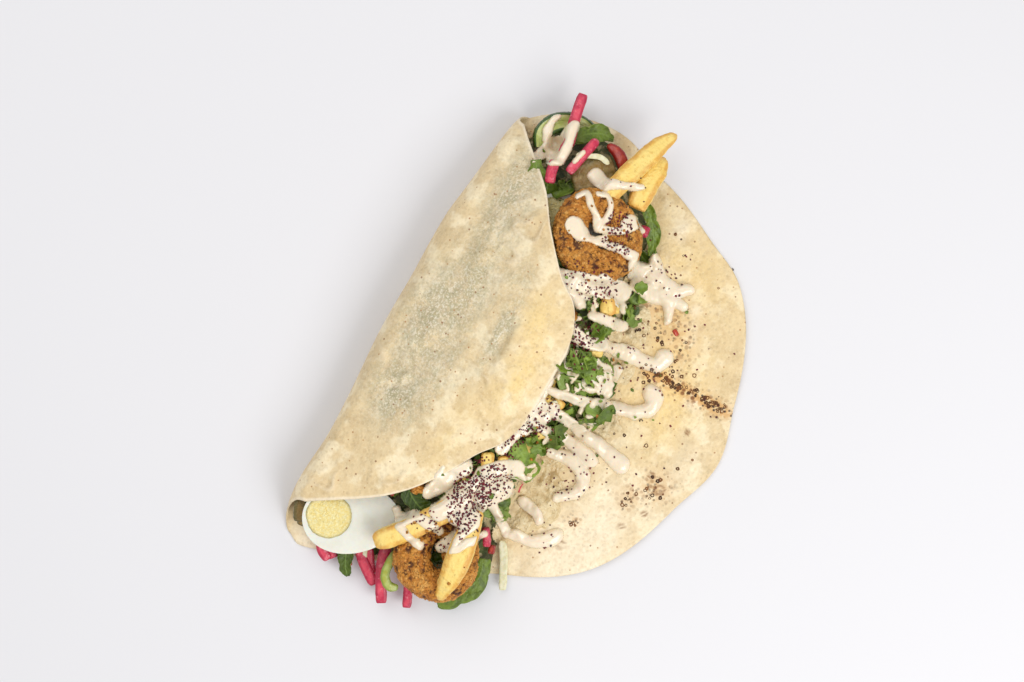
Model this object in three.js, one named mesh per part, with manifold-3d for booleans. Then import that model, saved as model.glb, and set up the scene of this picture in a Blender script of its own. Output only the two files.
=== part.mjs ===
// Falafel wrap: a round flatbread folded over its filling, lying open on one side. Millimetres, +Z up.
// The origin is the middle of the open, round half, on the underside of the bread.
// +X runs along the fold to the end with the long turnip stick, +Y from the open half to the fold.
import * as THREE from "three";
import { mergeVertices } from "three/addons/utils/BufferGeometryUtils.js";
import Module from "manifold-3d";

const wasm = await Module();
wasm.setup();

// Driving dimensions.
const GAP = 0.3; // clearance that a piece keeps from the piece it lies on
const BREAD_THICKNESS = 2;
const OPEN_RADIUS = 133.3; // radius of the round, open half of the bread
const FOLD_START = 66; // the lower layer is flat up to this Y, and the fold bulges out past it
const FLAP_TIP = -22.5; // the Y that the folded-over flap reaches
const RIDGE_Y = 12; // the Y of the flap's highest line
const HEAP_FLOOR = BREAD_THICKNESS + GAP;
const HEAP_EDGE = 8; // height of the heap's outer edge
const MOUTH_DEPTH = 14; // how far in under the flap the heap reaches the bread
const MOUTH_DROP = 6; // how far the heap's top drops from the flap's edge to the pieces that lie before it
const FALAFEL = { long: 28.5, wide: 26, holeLong: 10.5, holeWide: 5.5, half: 10 };
const EGG = { length: 57, width: 42, depth: 18, blunt: 0.1 };
const YOLK = { radius: 13.6, x: -13, y: 1.5, proud: 0.4 };
const TURNIP = { width: 7, thick: 6 };
const LEAF_THICKNESS = 1;

// Outlines, each as the few points that its shape needs.
// Ends of the lower layer beyond the round half, as [y, x].
const LOWER_RIGHT = [[-22, 131.5], [11, 143], [43, 139], [58, 131], [66, 124]];
const LOWER_LEFT = [[-55, -121.4], [-25, -137], [5, -149], [35, -158.5], [58, -166.5], [66, -163]];
// Edges of the flap, as [y, x].
const FLAP_RIGHT = [
  [-22.5, 12], [-19, 26], [-12, 38.5], [1, 48], [13, 60.5], [23, 72], [33, 86], [44, 97], [59, 110], [66, 117],
];
const FLAP_LEFT = [
  [-22.5, -31], [-17, -49], [-6.5, -64], [2, -79.5], [13, -96], [25, -109], [39, -120], [54, -130], [66, -138],
];
// Outermost line of the fold, as [x, y].
const FOLD_LINE = [
  [-163, 73], [-131, 76.6], [-99, 75], [-69, 76.2], [-30, 79],
  [11, 79], [41, 80], [74, 76.6], [110, 73], [124, 70.5],
];
// How far the round rim stands in or out of its circle, as [angle in degrees, offset].
const RIM_WOBBLE = [[-155, 0], [-133, 3], [-106, -2.4], [-90, 3], [-74, -2], [-43, 3], [-29, -1.8], [-10, 0]];
// Height of the flap where the fold ends, and along its ridge, as [x, z].
const FOLD_HEIGHT = [
  [-163, 7], [-138, 29], [-120, 30], [-60, 32], [0, 34], [50, 33], [80, 30], [100, 26], [124, 14],
];
const RIDGE_HEIGHT = [
  [-140, 32], [-120, 36], [-100, 38], [-60, 41], [-20, 44], [20, 46], [50, 45], [75, 42], [100, 34], [124, 21],
];
// Lumps that the filling pushes up in the flap: [x, y, radius along X, radius along Y, height].
const FLAP_LUMPS = [
  [55, 30, 16, 11, 1.8], [-25, 0, 24, 15, 2.2], [10, 35, 20, 12, -1.6], [-70, 30, 26, 14, 1.4],
];
// The heap's edge on the open side and its edge by the fold, as [x, y].
const HEAP_OUTSIDE = [
  [-150, -22], [-140, -42], [-126, -50], [-110, -47], [-84, -43], [-54, -46], [-34, -47], [-13, -62], [5, -63],
  [26, -53], [43, -47], [68, -42], [84, -36], [98, -33], [114, -17], [128, -4], [136, 10],
];
const HEAP_INSIDE = [[-150, 52], [-140, 60], [-120, 64], [80, 64], [110, 62], [125, 54], [136, 38]];
// How far the heap keeps its height towards its two ends, as [x, share].
const HEAP_ENDS = [[-150, 0.42], [-138, 0.66], [-115, 1], [100, 1], [122, 0.86], [136, 0.6]];
// Mounds and hollows in the heap's open slope: [x, y, radius along X, radius along Y, height].
const HEAP_MOUNDS = [[-84, -22, 22, 13, 8], [76, 16, 26, 16, -9], [-133, 38, 20, 24, -9]];

// ---------- curves and solids ----------

// A smooth curve through [position, value] knots, level past both ends.
function through(knots, v) {
  const last = knots.length - 1;
  if (v <= knots[0][0]) return knots[0][1];
  if (v >= knots[last][0]) return knots[last][1];
  const i = knots.findIndex((knot) => knot[0] > v) - 1;
  const slope = (k) => {
    const a = knots[Math.max(k - 1, 0)];
    const b = knots[Math.min(k + 1, last)];
    return (b[1] - a[1]) / (b[0] - a[0]);
  };
  const width = knots[i + 1][0] - knots[i][0];
  const t = (v - knots[i][0]) / width;
  const t2 = t * t;
  const t3 = t2 * t;
  return (
    knots[i][1] * (2 * t3 - 3 * t2 + 1) +
    slope(i) * width * (t3 - 2 * t2 + t) +
    knots[i + 1][1] * (3 * t2 - 2 * t3) +
    slope(i + 1) * width * (t3 - t2)
  );
}

// Moves every vertex of a closed three.js geometry with fn(vertex, u, v); u and v are its texture coordinates.
function shaped(geometry, fn) {
  const position = geometry.attributes.position;
  const uv = geometry.attributes.uv;
  const vertex = new THREE.Vector3();
  for (let i = 0; i < position.count; i += 1) {
    vertex.fromBufferAttribute(position, i);
    fn(vertex, uv.getX(i), uv.getY(i));
    position.setXYZ(i, vertex.x, vertex.y, vertex.z);
  }
  return geometry;
}

// The closed solid of a geometry, moved by a matrix, with its faces turned outwards.
function solidOf(geometry, matrix) {
  const bare = new THREE.BufferGeometry();
  bare.setAttribute("position", geometry.attributes.position.clone());
  bare.setIndex(geometry.index ? geometry.index.clone() : null);
  bare.applyMatrix4(matrix);
  const merged = mergeVertices(bare, 1e-4);
  const vertProperties = new Float32Array(merged.attributes.position.array);
  const triVerts = new Uint32Array(merged.index.array);
  const solid = new wasm.Manifold(new wasm.Mesh({ numProp: 3, vertProperties, triVerts }));
  if (solid.volume() > 0) return solid;
  for (let i = 0; i < triVerts.length; i += 3) {
    const second = triVerts[i + 1];
    triVerts[i + 1] = triVerts[i + 2];
    triVerts[i + 2] = second;
  }
  return new wasm.Manifold(new wasm.Mesh({ numProp: 3, vertProperties, triVerts }));
}

// A solid back as a geometry in the frame that the matrix leads out of.
function geometryOf(solid, matrix) {
  const mesh = solid.getMesh();
  const geometry = new THREE.BufferGeometry();
  geometry.setAttribute("position", new THREE.BufferAttribute(new Float32Array(mesh.vertProperties), 3));
  geometry.setIndex(new THREE.BufferAttribute(new Uint32Array(mesh.triVerts), 1));
  geometry.applyMatrix4(matrix.clone().invert());
  geometry.computeVertexNormals();
  return geometry;
}

// ---------- the bread ----------

// The two ends of the lower layer's row at height y: an arc of the open radius, then the folded ends.
function lowerEnds(y) {
  const arc = Math.sqrt(Math.max(OPEN_RADIUS ** 2 - y ** 2, 0));
  const left = y < LOWER_LEFT[0][0] ? -arc : through(LOWER_LEFT, y);
  const right = y < LOWER_RIGHT[0][0] ? arc : through(LOWER_RIGHT, y);
  return [left, right];
}

function flapEnds(y) {
  return [through(FLAP_LEFT, y), through(FLAP_RIGHT, y)];
}

// Height of the middle of the flap's thickness above a point inside it.
function flapHeight(x, y) {
  const start = through(FOLD_HEIGHT, x);
  const rise = Math.min(Math.max((FOLD_START - y) / (FOLD_START - RIDGE_Y), 0), 1);
  const past = Math.max(RIDGE_Y - y, 0);
  let z = start + (through(RIDGE_HEIGHT, x) - start) * Math.sin((rise * Math.PI) / 2) - 0.002 * past * past;
  for (const [cx, cy, rx, ry, height] of FLAP_LUMPS) {
    z += height * Math.exp(-(((x - cx) / rx) ** 2) - ((y - cy) / ry) ** 2);
  }
  return z;
}

// The middle surface of the bread. across runs from -1 to 1 along X. rows counts the rows of each stretch.
function breadPoint(across, row, rows, grow) {
  const toFold = rows.lower;
  const toFlap = rows.lower + rows.fold;
  const point = new THREE.Vector3();
  const place = (ends) => {
    const middle = (ends[0] + ends[1]) / 2;
    const half = (ends[1] - ends[0]) / 2 + (Math.abs(across) > 0.999 ? grow : 0);
    return middle + half * across;
  };
  if (row <= toFold) {
    const first = 0.08;
    const lastAngle = Math.acos(-FOLD_START / OPEN_RADIUS);
    const angle = first + ((lastAngle - first) * row) / toFold;
    const y = -OPEN_RADIUS * Math.cos(angle);
    const x = place(lowerEnds(y));
    const reach = Math.hypot(x, y) / OPEN_RADIUS;
    const wobble = through(RIM_WOBBLE, (Math.atan2(y, x) * 180) / Math.PI) * reach ** 3;
    const scale = 1 + wobble / OPEN_RADIUS;
    const turned = y > 0 ? 1 : scale;
    point.set(x * turned, y * turned - (row === 0 ? grow : 0), BREAD_THICKNESS / 2);
  } else if (row < toFlap) {
    const share = (row - toFold) / rows.fold;
    const lower = lowerEnds(FOLD_START);
    const flap = flapEnds(FOLD_START);
    const blend = share * share * (3 - 2 * share);
    const x = place([lower[0] + (flap[0] - lower[0]) * blend, lower[1] + (flap[1] - lower[1]) * blend]);
    const bulge = through(FOLD_LINE, x) - BREAD_THICKNESS / 2 - FOLD_START;
    const top = flapHeight(x, FOLD_START);
    const low = BREAD_THICKNESS / 2;
    const y = FOLD_START + bulge * Math.sin(Math.PI * share);
    point.set(x, y, low + ((top - low) * (1 - Math.cos(Math.PI * share))) / 2);
  } else {
    const share = (row - toFlap) / rows.flap;
    const y = FOLD_START + (FLAP_TIP - FOLD_START) * share;
    const x = place(flapEnds(y));
    point.set(x, y - (share === 1 ? grow : 0), flapHeight(x, y));
  }
  return point;
}

// The folded sheet, thickened along its normals: a flat block whose grid is laid on the middle surface.
function breadGeometry(grow) {
  const rows = { lower: 12, fold: 5, flap: 9 };
  const total = rows.lower + rows.fold + rows.flap;
  const columns = 22;
  const half = BREAD_THICKNESS / 2 + grow;
  const block = new THREE.BoxGeometry(2, total, 2, columns, total, 1);
  return shaped(block, (vertex) => {
    const row = Math.round(vertex.y + total / 2);
    const across = vertex.x;
    const side = vertex.z;
    const stepX = 1 / columns;
    const left = breadPoint(Math.max(across - stepX, -0.99), row, rows, 0);
    const right = breadPoint(Math.min(across + stepX, 0.99), row, rows, 0);
    const before = breadPoint(across, Math.max(row - 1, 0), rows, 0);
    const after = breadPoint(across, Math.min(row + 1, total), rows, 0);
    const normal = right.sub(left).cross(after.sub(before)).normalize();
    if (row < rows.lower) normal.set(0, 0, 1);
    vertex.copy(breadPoint(across, row, rows, grow)).addScaledVector(normal, side * half);
  });
}

// ---------- the heap of salad under and beside the flap ----------

// The Y of the flap's edge over a station x, or the fold itself past the flap's ends.
function flapEdge(x) {
  const steps = 60;
  for (let i = 0; i <= steps; i += 1) {
    const y = FLAP_TIP + ((FOLD_START - FLAP_TIP) * i) / steps;
    const ends = flapEnds(y);
    if (x > ends[0] && x < ends[1]) return y;
  }
  return FOLD_START;
}

// Height of the heap: under the flap it follows the bread, and past the flap's edge it slopes down to its edge.
function heapTop(x, y) {
  const under = BREAD_THICKNESS / 2 + GAP + 0.5;
  const edge = flapEdge(x);
  const ends = through(HEAP_ENDS, x);
  const inside = Math.min(Math.max((y - edge) / MOUTH_DEPTH, 0), 1);
  const outside = through(HEAP_OUTSIDE, x);
  const share = Math.min(Math.max((y - outside) / (edge - outside), 0), 1);
  const crest = (flapHeight(x, Math.max(y, edge)) - under - MOUTH_DROP * (1 - inside) - HEAP_EDGE) * ends;
  let mounds = 1.3 * Math.sin(x / 6.5 + y / 9) * Math.sin(y / 7.5 - x / 17);
  for (const [cx, cy, rx, ry, height] of HEAP_MOUNDS) {
    mounds += height * Math.exp(-(((x - cx) / rx) ** 2) - ((y - cy) / ry) ** 2);
  }
  return HEAP_EDGE + crest * (1 - (1 - share) ** 2.2) + mounds * Math.sin((Math.PI / 2) * share) * (1 - inside);
}

function heapGeometry() {
  const columns = 22;
  const rows = 9;
  const first = HEAP_OUTSIDE[0][0];
  const last = HEAP_OUTSIDE[HEAP_OUTSIDE.length - 1][0];
  const block = new THREE.BoxGeometry(1, 1, 1, columns, rows, 1);
  return shaped(block, (vertex) => {
    const x = first + (last - first) * (vertex.x + 0.5);
    const outside = through(HEAP_OUTSIDE, x);
    const y = outside + (through(HEAP_INSIDE, x) - outside) * (vertex.y + 0.5);
    vertex.set(x, y, vertex.z > 0 ? heapTop(x, y) : HEAP_FLOOR);
  });
}

// ---------- pieces of the filling, each made larger by grow where it is cut out of a neighbour ----------

// A doughnut-shaped falafel with an oval hole, lying in its own XY plane.
function falafelGeometry(grow, lumps) {
  const middle = [(FALAFEL.long + FALAFEL.holeLong) / 2, (FALAFEL.wide + FALAFEL.holeWide) / 2];
  const half = [(FALAFEL.long - FALAFEL.holeLong) / 2 + grow, (FALAFEL.wide - FALAFEL.holeWide) / 2 + grow];
  return shaped(new THREE.TorusGeometry(2, 1, 7, 16), (vertex, u, v) => {
    const around = u * 2 * Math.PI;
    const section = v * 2 * Math.PI;
    const uneven = 1 + lumps * Math.cos(3 * around + 1) * Math.cos(section);
    const reach = Math.cos(section) * uneven;
    vertex.x = Math.cos(around) * (middle[0] + half[0] * reach);
    vertex.y = Math.sin(around) * (middle[1] + half[1] * reach);
    vertex.z = Math.sin(section) * (FALAFEL.half + grow);
  });
}

// Half an egg with its cut face up at z = 0 and its blunt end towards -X.
function eggGeometry(grow) {
  const profile = [new THREE.Vector2(0, grow)];
  const steps = 5;
  for (let i = 0; i <= steps; i += 1) {
    const angle = (i / steps) * (Math.PI / 2);
    profile.push(new THREE.Vector2(Math.cos(angle), -Math.sin(angle) * EGG.depth + grow * (i ? -1 : 1)));
  }
  profile[profile.length - 1].x = 0;
  return shaped(new THREE.LatheGeometry(profile, 16), (vertex) => {
    const x = vertex.x * (EGG.length / 2 + grow);
    const width = (EGG.width / 2 + grow) * (1 - EGG.blunt * vertex.x);
    vertex.set(x, -vertex.z * width, vertex.y);
  });
}

// The half yolk, with its flat face a little proud of the cut white.
function yolkGeometry(grow) {
  const radius = YOLK.radius + grow;
  const top = YOLK.proud + grow;
  const profile = [new THREE.Vector2(0, top), new THREE.Vector2(radius * 0.93, top)];
  const steps = 4;
  for (let i = 0; i <= steps; i += 1) {
    const angle = (i / steps) * (Math.PI / 2);
    profile.push(new THREE.Vector2(radius * Math.cos(angle), -radius * Math.sin(angle)));
  }
  profile[profile.length - 1].x = 0;
  return shaped(new THREE.LatheGeometry(profile, 14), (vertex) => {
    vertex.set(vertex.x + YOLK.x, YOLK.y - vertex.z, vertex.y);
  });
}

// A stick along a smooth path: a six-sided section with the given width and thickness, and tapered ends.
// ends holds the share of the section left at the start and at the end, and body how soon it fills out.
function stickGeometry(grow, { path, width, thick, ends = [0.8, 0.8], body = 0.12, steps = 5 }) {
  const curve = new THREE.CatmullRomCurve3(path.map((p) => new THREE.Vector3(...p)));
  const up = new THREE.Vector3(0, 0, 1);
  return shaped(new THREE.CylinderGeometry(1, 1, 1, 6, steps), (vertex) => {
    const along = vertex.y + 0.5;
    const along1 = Math.min(Math.max(along, 0), 1);
    const tangent = curve.getTangent(along1);
    const side = new THREE.Vector3().crossVectors(tangent, up).normalize();
    const normal = new THREE.Vector3().crossVectors(side, tangent);
    const fill = (share, end) => end + (1 - end) * Math.sqrt(Math.min(share / body, 1));
    const full = Math.min(fill(along1, ends[0]), fill(1 - along1, ends[1]));
    const radial = Math.hypot(vertex.x, vertex.z);
    const corner = radial > 0 ? radial / Math.max(Math.abs(vertex.x), Math.abs(vertex.z)) : 1;
    const square = 1 + (corner - 1) * 0.7;
    const centre = curve.getPoint(along1).addScaledVector(tangent, (along - 0.5) * 2 * grow);
    vertex.copy(centre
      .addScaledVector(side, vertex.x * square * ((width / 2) * full + grow))
      .addScaledVector(normal, vertex.z * square * ((thick / 2) * full + grow)));
  });
}

// A leaf or thin slice along its midrib: half as wide as given at each end share, cupped across by cup.
function leafGeometry(grow, { path, width, cup = 0, wave = 0, thick = LEAF_THICKNESS, tips = [0.15, 0.15] }) {
  const curve = new THREE.CatmullRomCurve3(path.map((p) => new THREE.Vector3(...p)));
  const up = new THREE.Vector3(0, 0, 1);
  return shaped(new THREE.BoxGeometry(1, 1, 1, 6, 2, 1), (vertex) => {
    const along = vertex.x + 0.5;
    const tangent = curve.getTangent(along);
    const side = new THREE.Vector3().crossVectors(up, tangent).normalize();
    const normal = new THREE.Vector3().crossVectors(tangent, side);
    const tip = tips[0] + (tips[1] - tips[0]) * along;
    const spread = tip + (1 - tip) * Math.sin(Math.PI * along) ** 0.7;
    const across = vertex.y * 2;
    const half = (width / 2) * spread + grow;
    const lift = cup * across * across * spread + wave * Math.sin(9 * along + 2 * across) * Math.abs(across);
    const ends = (along - 0.5) * 2 * grow;
    vertex.copy(curve.getPoint(along)
      .addScaledVector(tangent, ends)
      .addScaledVector(side, across * half)
      .addScaledVector(normal, lift + vertex.z * (thick + 2 * grow)));
  });
}

// An uneven lump of fried potato or tomato.
function chunkGeometry(grow, { size }) {
  return shaped(new THREE.BoxGeometry(1, 1, 1, 2, 2, 2), (vertex) => {
    const round = 1 / Math.max(1, vertex.length() * 1.45);
    vertex.set(
      vertex.x * round * (size[0] + 2 * grow),
      vertex.y * round * (size[1] + 2 * grow),
      vertex.z * round * (size[2] + 2 * grow),
    );
  });
}

// ---------- finishes ----------

const finish = (colour, roughness) => ({ color: colour, roughness, metalness: 0 });
const FINISHES = {
  bread: finish(0xeddcb4, 0.8),
  salad: finish(0x5f8a3c, 0.6),
  falafel: finish(0xa2652a, 0.9),
  egg_white: finish(0xe6e8d8, 0.35),
  egg_yolk: finish(0xf3e289, 0.8),
  fry: finish(0xf0cf78, 0.5),
  turnip: finish(0xd23a62, 0.3),
  pickle: finish(0x6f6030, 0.3),
  cucumber: finish(0xb9c27a, 0.3),
  tomato: finish(0xa5382a, 0.3),
  pepper: finish(0xa8b95c, 0.3),
  cabbage: finish(0xdfe0bc, 0.4),
  leaf: finish(0x4d8a34, 0.5),
  tahini: finish(0xe8d9c0, 0.25),
};

// ---------- the list of pieces, from the ones that lie on top to the ones below them ----------

const falafel = (lumps) => (grow) => falafelGeometry(grow, lumps);
const stick = (options) => (grow) => stickGeometry(grow, options);
const leaf = (options) => (grow) => leafGeometry(grow, options);
const chunk = (options) => (grow) => chunkGeometry(grow, options);
const finger = (path) => stick({ path, width: 8, thick: 4, ends: [0.7, 0.8], body: 0.15 });
const turnip = (path, ends, width = TURNIP.width) =>
  stick({ path, width, thick: TURNIP.thick, ends, body: 0.1 });

// Each row: name, finish, shape, and for a piece with a frame of its own its place and its turns in degrees.
const PIECES = [
  ["fry_top_long", "fry", stick({
    path: [[155, -14.5, 27], [146, -10, 30], [130, -5, 34], [113, 0, 37], [99, 3, 38]],
    width: 13, thick: 9, ends: [0.22, 0.5], body: 0.3,
  })],
  ["fry_top_side", "fry", stick({
    path: [[140, -15.5, 25], [130, -16, 27.5], [117, -16.5, 30], [106, -17.5, 31.5]],
    width: 12.5, thick: 8, ends: [0.25, 0.6], body: 0.25,
  })],
  ["fry_low_left", "fry", stick({
    path: [[-137, 19, 36], [-124, 8, 37], [-111, -1, 37.5], [-98, -9, 37.5], [-86, -15, 37]],
    width: 13.5, thick: 11, ends: [0.6, 0.7],
  })],
  ["fry_low_right", "fry", stick({
    path: [[-148, -29.5, 32], [-134, -29, 38.5], [-121, -27.5, 42], [-106, -25, 42], [-92, -22.5, 40]],
    width: 15.5, thick: 11, ends: [0.15, 0.6], body: 0.4,
  })],
  ["fry_stub_one", "fry", stick({
    path: [[-60, -11.5, 36], [-65, -14.5, 36], [-71, -18.5, 34.5]], width: 8.5, thick: 8, steps: 3,
  })],
  ["fry_stub_two", "fry", stick({
    path: [[-57.5, -20.5, 35], [-61, -23, 34], [-66, -26.5, 32]], width: 7, thick: 7, steps: 3,
  })],
  ["falafel_upper", "falafel", falafel(0.05), [80, -4, 37.5], [7, -4, 61]],
  ["falafel_lower", "falafel", falafel(0.07), [-127, -16, 25], [5, 4, 30]],
  ["egg_low_yolk", "egg_yolk", yolkGeometry, [-133.5, 38, 27.5], [4, 3, -60]],
  ["egg_low_white", "egg_white", eggGeometry, [-133.5, 38, 27.5], [4, 3, -60]],
  ["egg_top_yolk", "egg_yolk", yolkGeometry, [73, 10, 26.5], [0, 0, -100]],
  ["egg_top_white", "egg_white", eggGeometry, [73, 10, 26.5], [0, 0, -100]],
  ["turnip_top_long", "turnip", turnip(
    [[149, 44.5, 21.5], [141, 43, 22.5], [132, 41, 24.5], [120, 37.5, 27.5], [112, 38, 29]], [0.8, 0.6],
  )],
  ["turnip_top_second", "turnip", turnip(
    [[129, 24, 30], [121, 25.5, 32], [113, 27, 33], [104, 29, 33]], [0.4, 0.7], 6,
  )],
  ["turnip_top_third", "turnip", turnip([[106, 39, 33.5], [99, 37.5, 33], [92, 35, 32]], [0.8, 0.7], 8)],
  ["pickle_slice", "pickle", stick({
    path: [[101, 24, 27], [107, 18, 28], [114, 12, 27.5], [120, 7, 25]],
    width: 24, thick: 8, ends: [0.6, 0.6], body: 0.3,
  })],
  ["cucumber_slice", "cucumber", leaf({
    path: [[108, 53, 18], [117, 56, 19], [128, 51, 19], [135, 40, 17], [136, 30, 15]],
    width: 13, thick: 4, cup: 1.5, tips: [0.6, 0.5],
  })],
  ["tomato_wedge", "tomato", stick({
    path: [[131, 17, 21], [129, 9, 21.5], [124, 3, 22], [117, 1, 22]],
    width: 8, thick: 9, ends: [0.3, 0.4], body: 0.4,
  })],
  ["turnip_low_tip", "turnip", turnip([[-150, 45, 7], [-157, 42, 6.5], [-162, 36, 6]], [0.8, 0.6], 8)],
  ["turnip_low_bent", "turnip", turnip(
    [[-146, 27, 8], [-152, 22.5, 8], [-158, 15, 7.5], [-163.5, 7, 7]], [0.7, 0.6],
  )],
  ["turnip_low_long", "turnip", turnip(
    [[-139, 12, 12.5], [-149, 9.5, 12], [-160, 4, 11.5], [-170, -2, 10]], [0.8, 0.85],
  )],
  ["turnip_low_last", "turnip", turnip([[-146, -6, 8], [-155, -11.5, 8], [-165.5, -16.5, 7.5]], [0.8, 0.8], 6)],
  ["pepper_strip", "pepper", stick({
    path: [[-137, 5, 22], [-146, 5.5, 22], [-154, 4, 20.5], [-158, -1, 19.5], [-156.5, -6, 18.5]],
    width: 6, thick: 4, ends: [0.6, 0.5],
  })],
  ["pickle_strip", "pickle", stick({
    path: [[-140, 62, 9], [-147, 63.5, 6.5], [-155, 63, 5]], width: 6, thick: 5, ends: [0.7, 0.7], steps: 3,
  })],
  ["cabbage_strip", "cabbage", stick({
    path: [[-103, -46, 7], [-110, -51, 5], [-119, -56, 4.8], [-128.5, -61, 4.8]],
    width: 5.5, thick: 3, ends: [0.5, 0.7],
  })],
  ["tomato_low", "tomato", chunk({ size: [9, 9, 6] }), [-160, 29, 7], [0, 0, 40]],
  ["tomato_side", "tomato", chunk({ size: [8, 7, 6] }), [-110, -43, 11], [0, 0, 20]],
  ["potato_chunk_mid", "fry", chunk({ size: [13, 10, 9] }), [48, -30, 27], [10, 0, 35]],
  ["potato_chunk_low", "fry", chunk({ size: [14, 10, 9] }), [-33, -33, 24], [0, 8, 60]],
  ["potato_chunk_inner", "fry", chunk({ size: [9, 7, 8] }), [22, -35, 27], [0, 0, 15]],
  ["potato_chunk_edge", "fry", chunk({ size: [10, 7, 8] }), [-15, -33, 32], [0, 0, 75]],
  ["tahini_mound", "tahini", chunk({ size: [26, 15, 7] }), [-80, -2, 32], [0, 0, -38]],
  ["tahini_spill", "tahini", chunk({ size: [34, 22, 4.6] }), [75, -55, 4.7], [0, 0, -25]],
  ["tahini_finger_one", "tahini", finger([[30, -51, 8], [36, -62, 5], [41, -76, 4.4]])],
  ["tahini_finger_two", "tahini", finger([[-3, -64, 6], [2, -74, 4.4], [8, -81, 4.4], [17, -83, 4.4]])],
  ["tahini_finger_three", "tahini", finger([[-29, -62, 4.4], [-28, -74, 4.4], [-30, -86, 4.4]])],
  ["tahini_finger_four", "tahini", finger(
    [[-42, -56, 4.4], [-46, -68, 4.4], [-54, -72, 4.4], [-63, -65, 4.4]],
  )],
  ["turnip_side", "turnip", chunk({ size: [8, 7, 6] }), [98, -27, 15], [0, 0, 10]],
  ["leaf_mid", "leaf", leaf({
    path: [[-47, -20, 34], [-51, -29, 32], [-57, -36, 27], [-65, -43, 20]], width: 24, cup: 2, tips: [0.3, 0.1],
  })],
  ["leaf_low_big", "leaf", leaf({
    path: [[-117, -39, 14], [-127, -43.5, 12.5], [-138, -42, 12], [-148, -36, 12], [-154, -30, 12]],
    width: 24, cup: -1.5, wave: 0.3, tips: [0.4, 0.3],
  })],
  ["leaf_low_dark", "leaf", leaf({
    path: [[-99, 20, 34], [-105, 12, 33], [-108, 2, 32], [-106, -5, 30]], width: 14, cup: 1, tips: [0.5, 0.3],
  })],
  ["leaf_low_small", "leaf", leaf({
    path: [[-147, 35, 13], [-155, 31, 11], [-163, 27, 9], [-167, 23, 7]], width: 11, cup: 1, tips: [0.6, 0.2],
  })],
  ["leaf_top_outer", "leaf", leaf({
    path: [[123, 36, 23], [130, 31, 21.5], [135, 24, 18.5], [136, 16, 15.5]], width: 12, cup: 1, tips: [0.5, 0.2],
  })],
  ["leaf_top_left", "leaf", leaf({
    path: [[101, 49, 33.5], [95, 45, 32], [89, 39, 31], [85, 36, 31]], width: 12, cup: 1, tips: [0.5, 0.3],
  })],
  ["leaf_side", "leaf", leaf({
    path: [[113, -18, 18], [106, -27, 15], [97, -34, 11], [88, -38, 9]], width: 12, cup: 1, tips: [0.3, 0.3],
  })],
];

// ---------- assembly ----------

function placedMesh(name, finishName, geometry, place = [0, 0, 0], turns = [0, 0, 0]) {
  const mesh = new THREE.Mesh(geometry, new THREE.MeshStandardMaterial(FINISHES[finishName]));
  mesh.name = name;
  mesh.position.set(...place);
  mesh.rotation.set(...turns.map(THREE.MathUtils.degToRad), "ZYX");
  mesh.updateMatrixWorld(true);
  return mesh;
}

function boxesMeet(a, b) {
  const first = a.boundingBox();
  const second = b.boundingBox();
  return [0, 1, 2].every((k) => first.min[k] < second.max[k] && second.min[k] < first.max[k]);
}

// Cuts a solid clear of the pieces that are already in place.
function cutClear(solid, placed) {
  return placed.reduce((left, other) => (boxesMeet(left, other) ? left.subtract(other) : left), solid);
}

const wrap = new THREE.Group();
const filling = new THREE.Group();
wrap.add(filling);

const identity = new THREE.Matrix4();
const bread = placedMesh("flatbread", "bread", breadGeometry(0));
wrap.add(bread);
const placed = [solidOf(breadGeometry(GAP), identity)];

for (const [name, finishName, make, place, turns] of PIECES) {
  const mesh = placedMesh(name, finishName, make(0), place, turns);
  const solid = cutClear(solidOf(mesh.geometry, mesh.matrixWorld), placed);
  mesh.geometry = geometryOf(solid, mesh.matrixWorld);
  filling.add(mesh);
  placed.push(solidOf(make(GAP), mesh.matrixWorld));
}

const heap = cutClear(solidOf(heapGeometry(), identity), placed);
filling.add(placedMesh("salad_heap", "salad", geometryOf(heap, identity)));

export default wrap;
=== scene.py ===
"""Falafel wrap: a flatbread folded over falafel, egg, fries, pickles, herbs and tahini.

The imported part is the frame. Metres in Blender; every length below is in millimetres until add_piece.
"""
import math

import bpy
import numpy as np
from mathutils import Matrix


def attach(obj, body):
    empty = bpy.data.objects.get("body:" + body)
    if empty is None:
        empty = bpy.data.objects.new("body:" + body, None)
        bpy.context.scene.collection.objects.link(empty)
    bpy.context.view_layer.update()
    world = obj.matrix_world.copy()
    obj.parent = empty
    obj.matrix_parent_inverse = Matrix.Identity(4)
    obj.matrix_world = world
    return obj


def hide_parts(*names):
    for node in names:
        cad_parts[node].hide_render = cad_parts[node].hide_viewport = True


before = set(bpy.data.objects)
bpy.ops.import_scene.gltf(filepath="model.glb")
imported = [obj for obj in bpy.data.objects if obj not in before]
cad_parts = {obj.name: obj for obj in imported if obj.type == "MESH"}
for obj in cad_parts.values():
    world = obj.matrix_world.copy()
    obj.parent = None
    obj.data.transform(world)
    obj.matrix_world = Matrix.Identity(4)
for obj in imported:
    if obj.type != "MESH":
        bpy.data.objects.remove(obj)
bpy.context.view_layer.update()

MM = 0.001
TURN = 2 * math.pi

# ---------- the part's own measures ----------

BREAD_THICKNESS = 2.0
OPEN_RADIUS = 133.3
FOLD_START = 66.0  # the Y where the lower layer turns up into the fold
FLAP_TIP = -22.5  # the Y of the flap's furthest point
RIDGE_Y = 12.0  # the Y of the flap's highest line
HEAP_EDGE = 8.0  # the heap's height at its outer edge
MOUTH_DEPTH = 14.0  # how far inside the flap's edge the heap comes up to the bread
MOUTH_DROP = 6.0  # how far below it the heap lies at the flap's edge
HIGHEST = 49.1  # nothing stands above this, so that the wrap stays in the part's box
FARTHEST = 79.3  # and nothing of the bread reaches past this along Y
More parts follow.
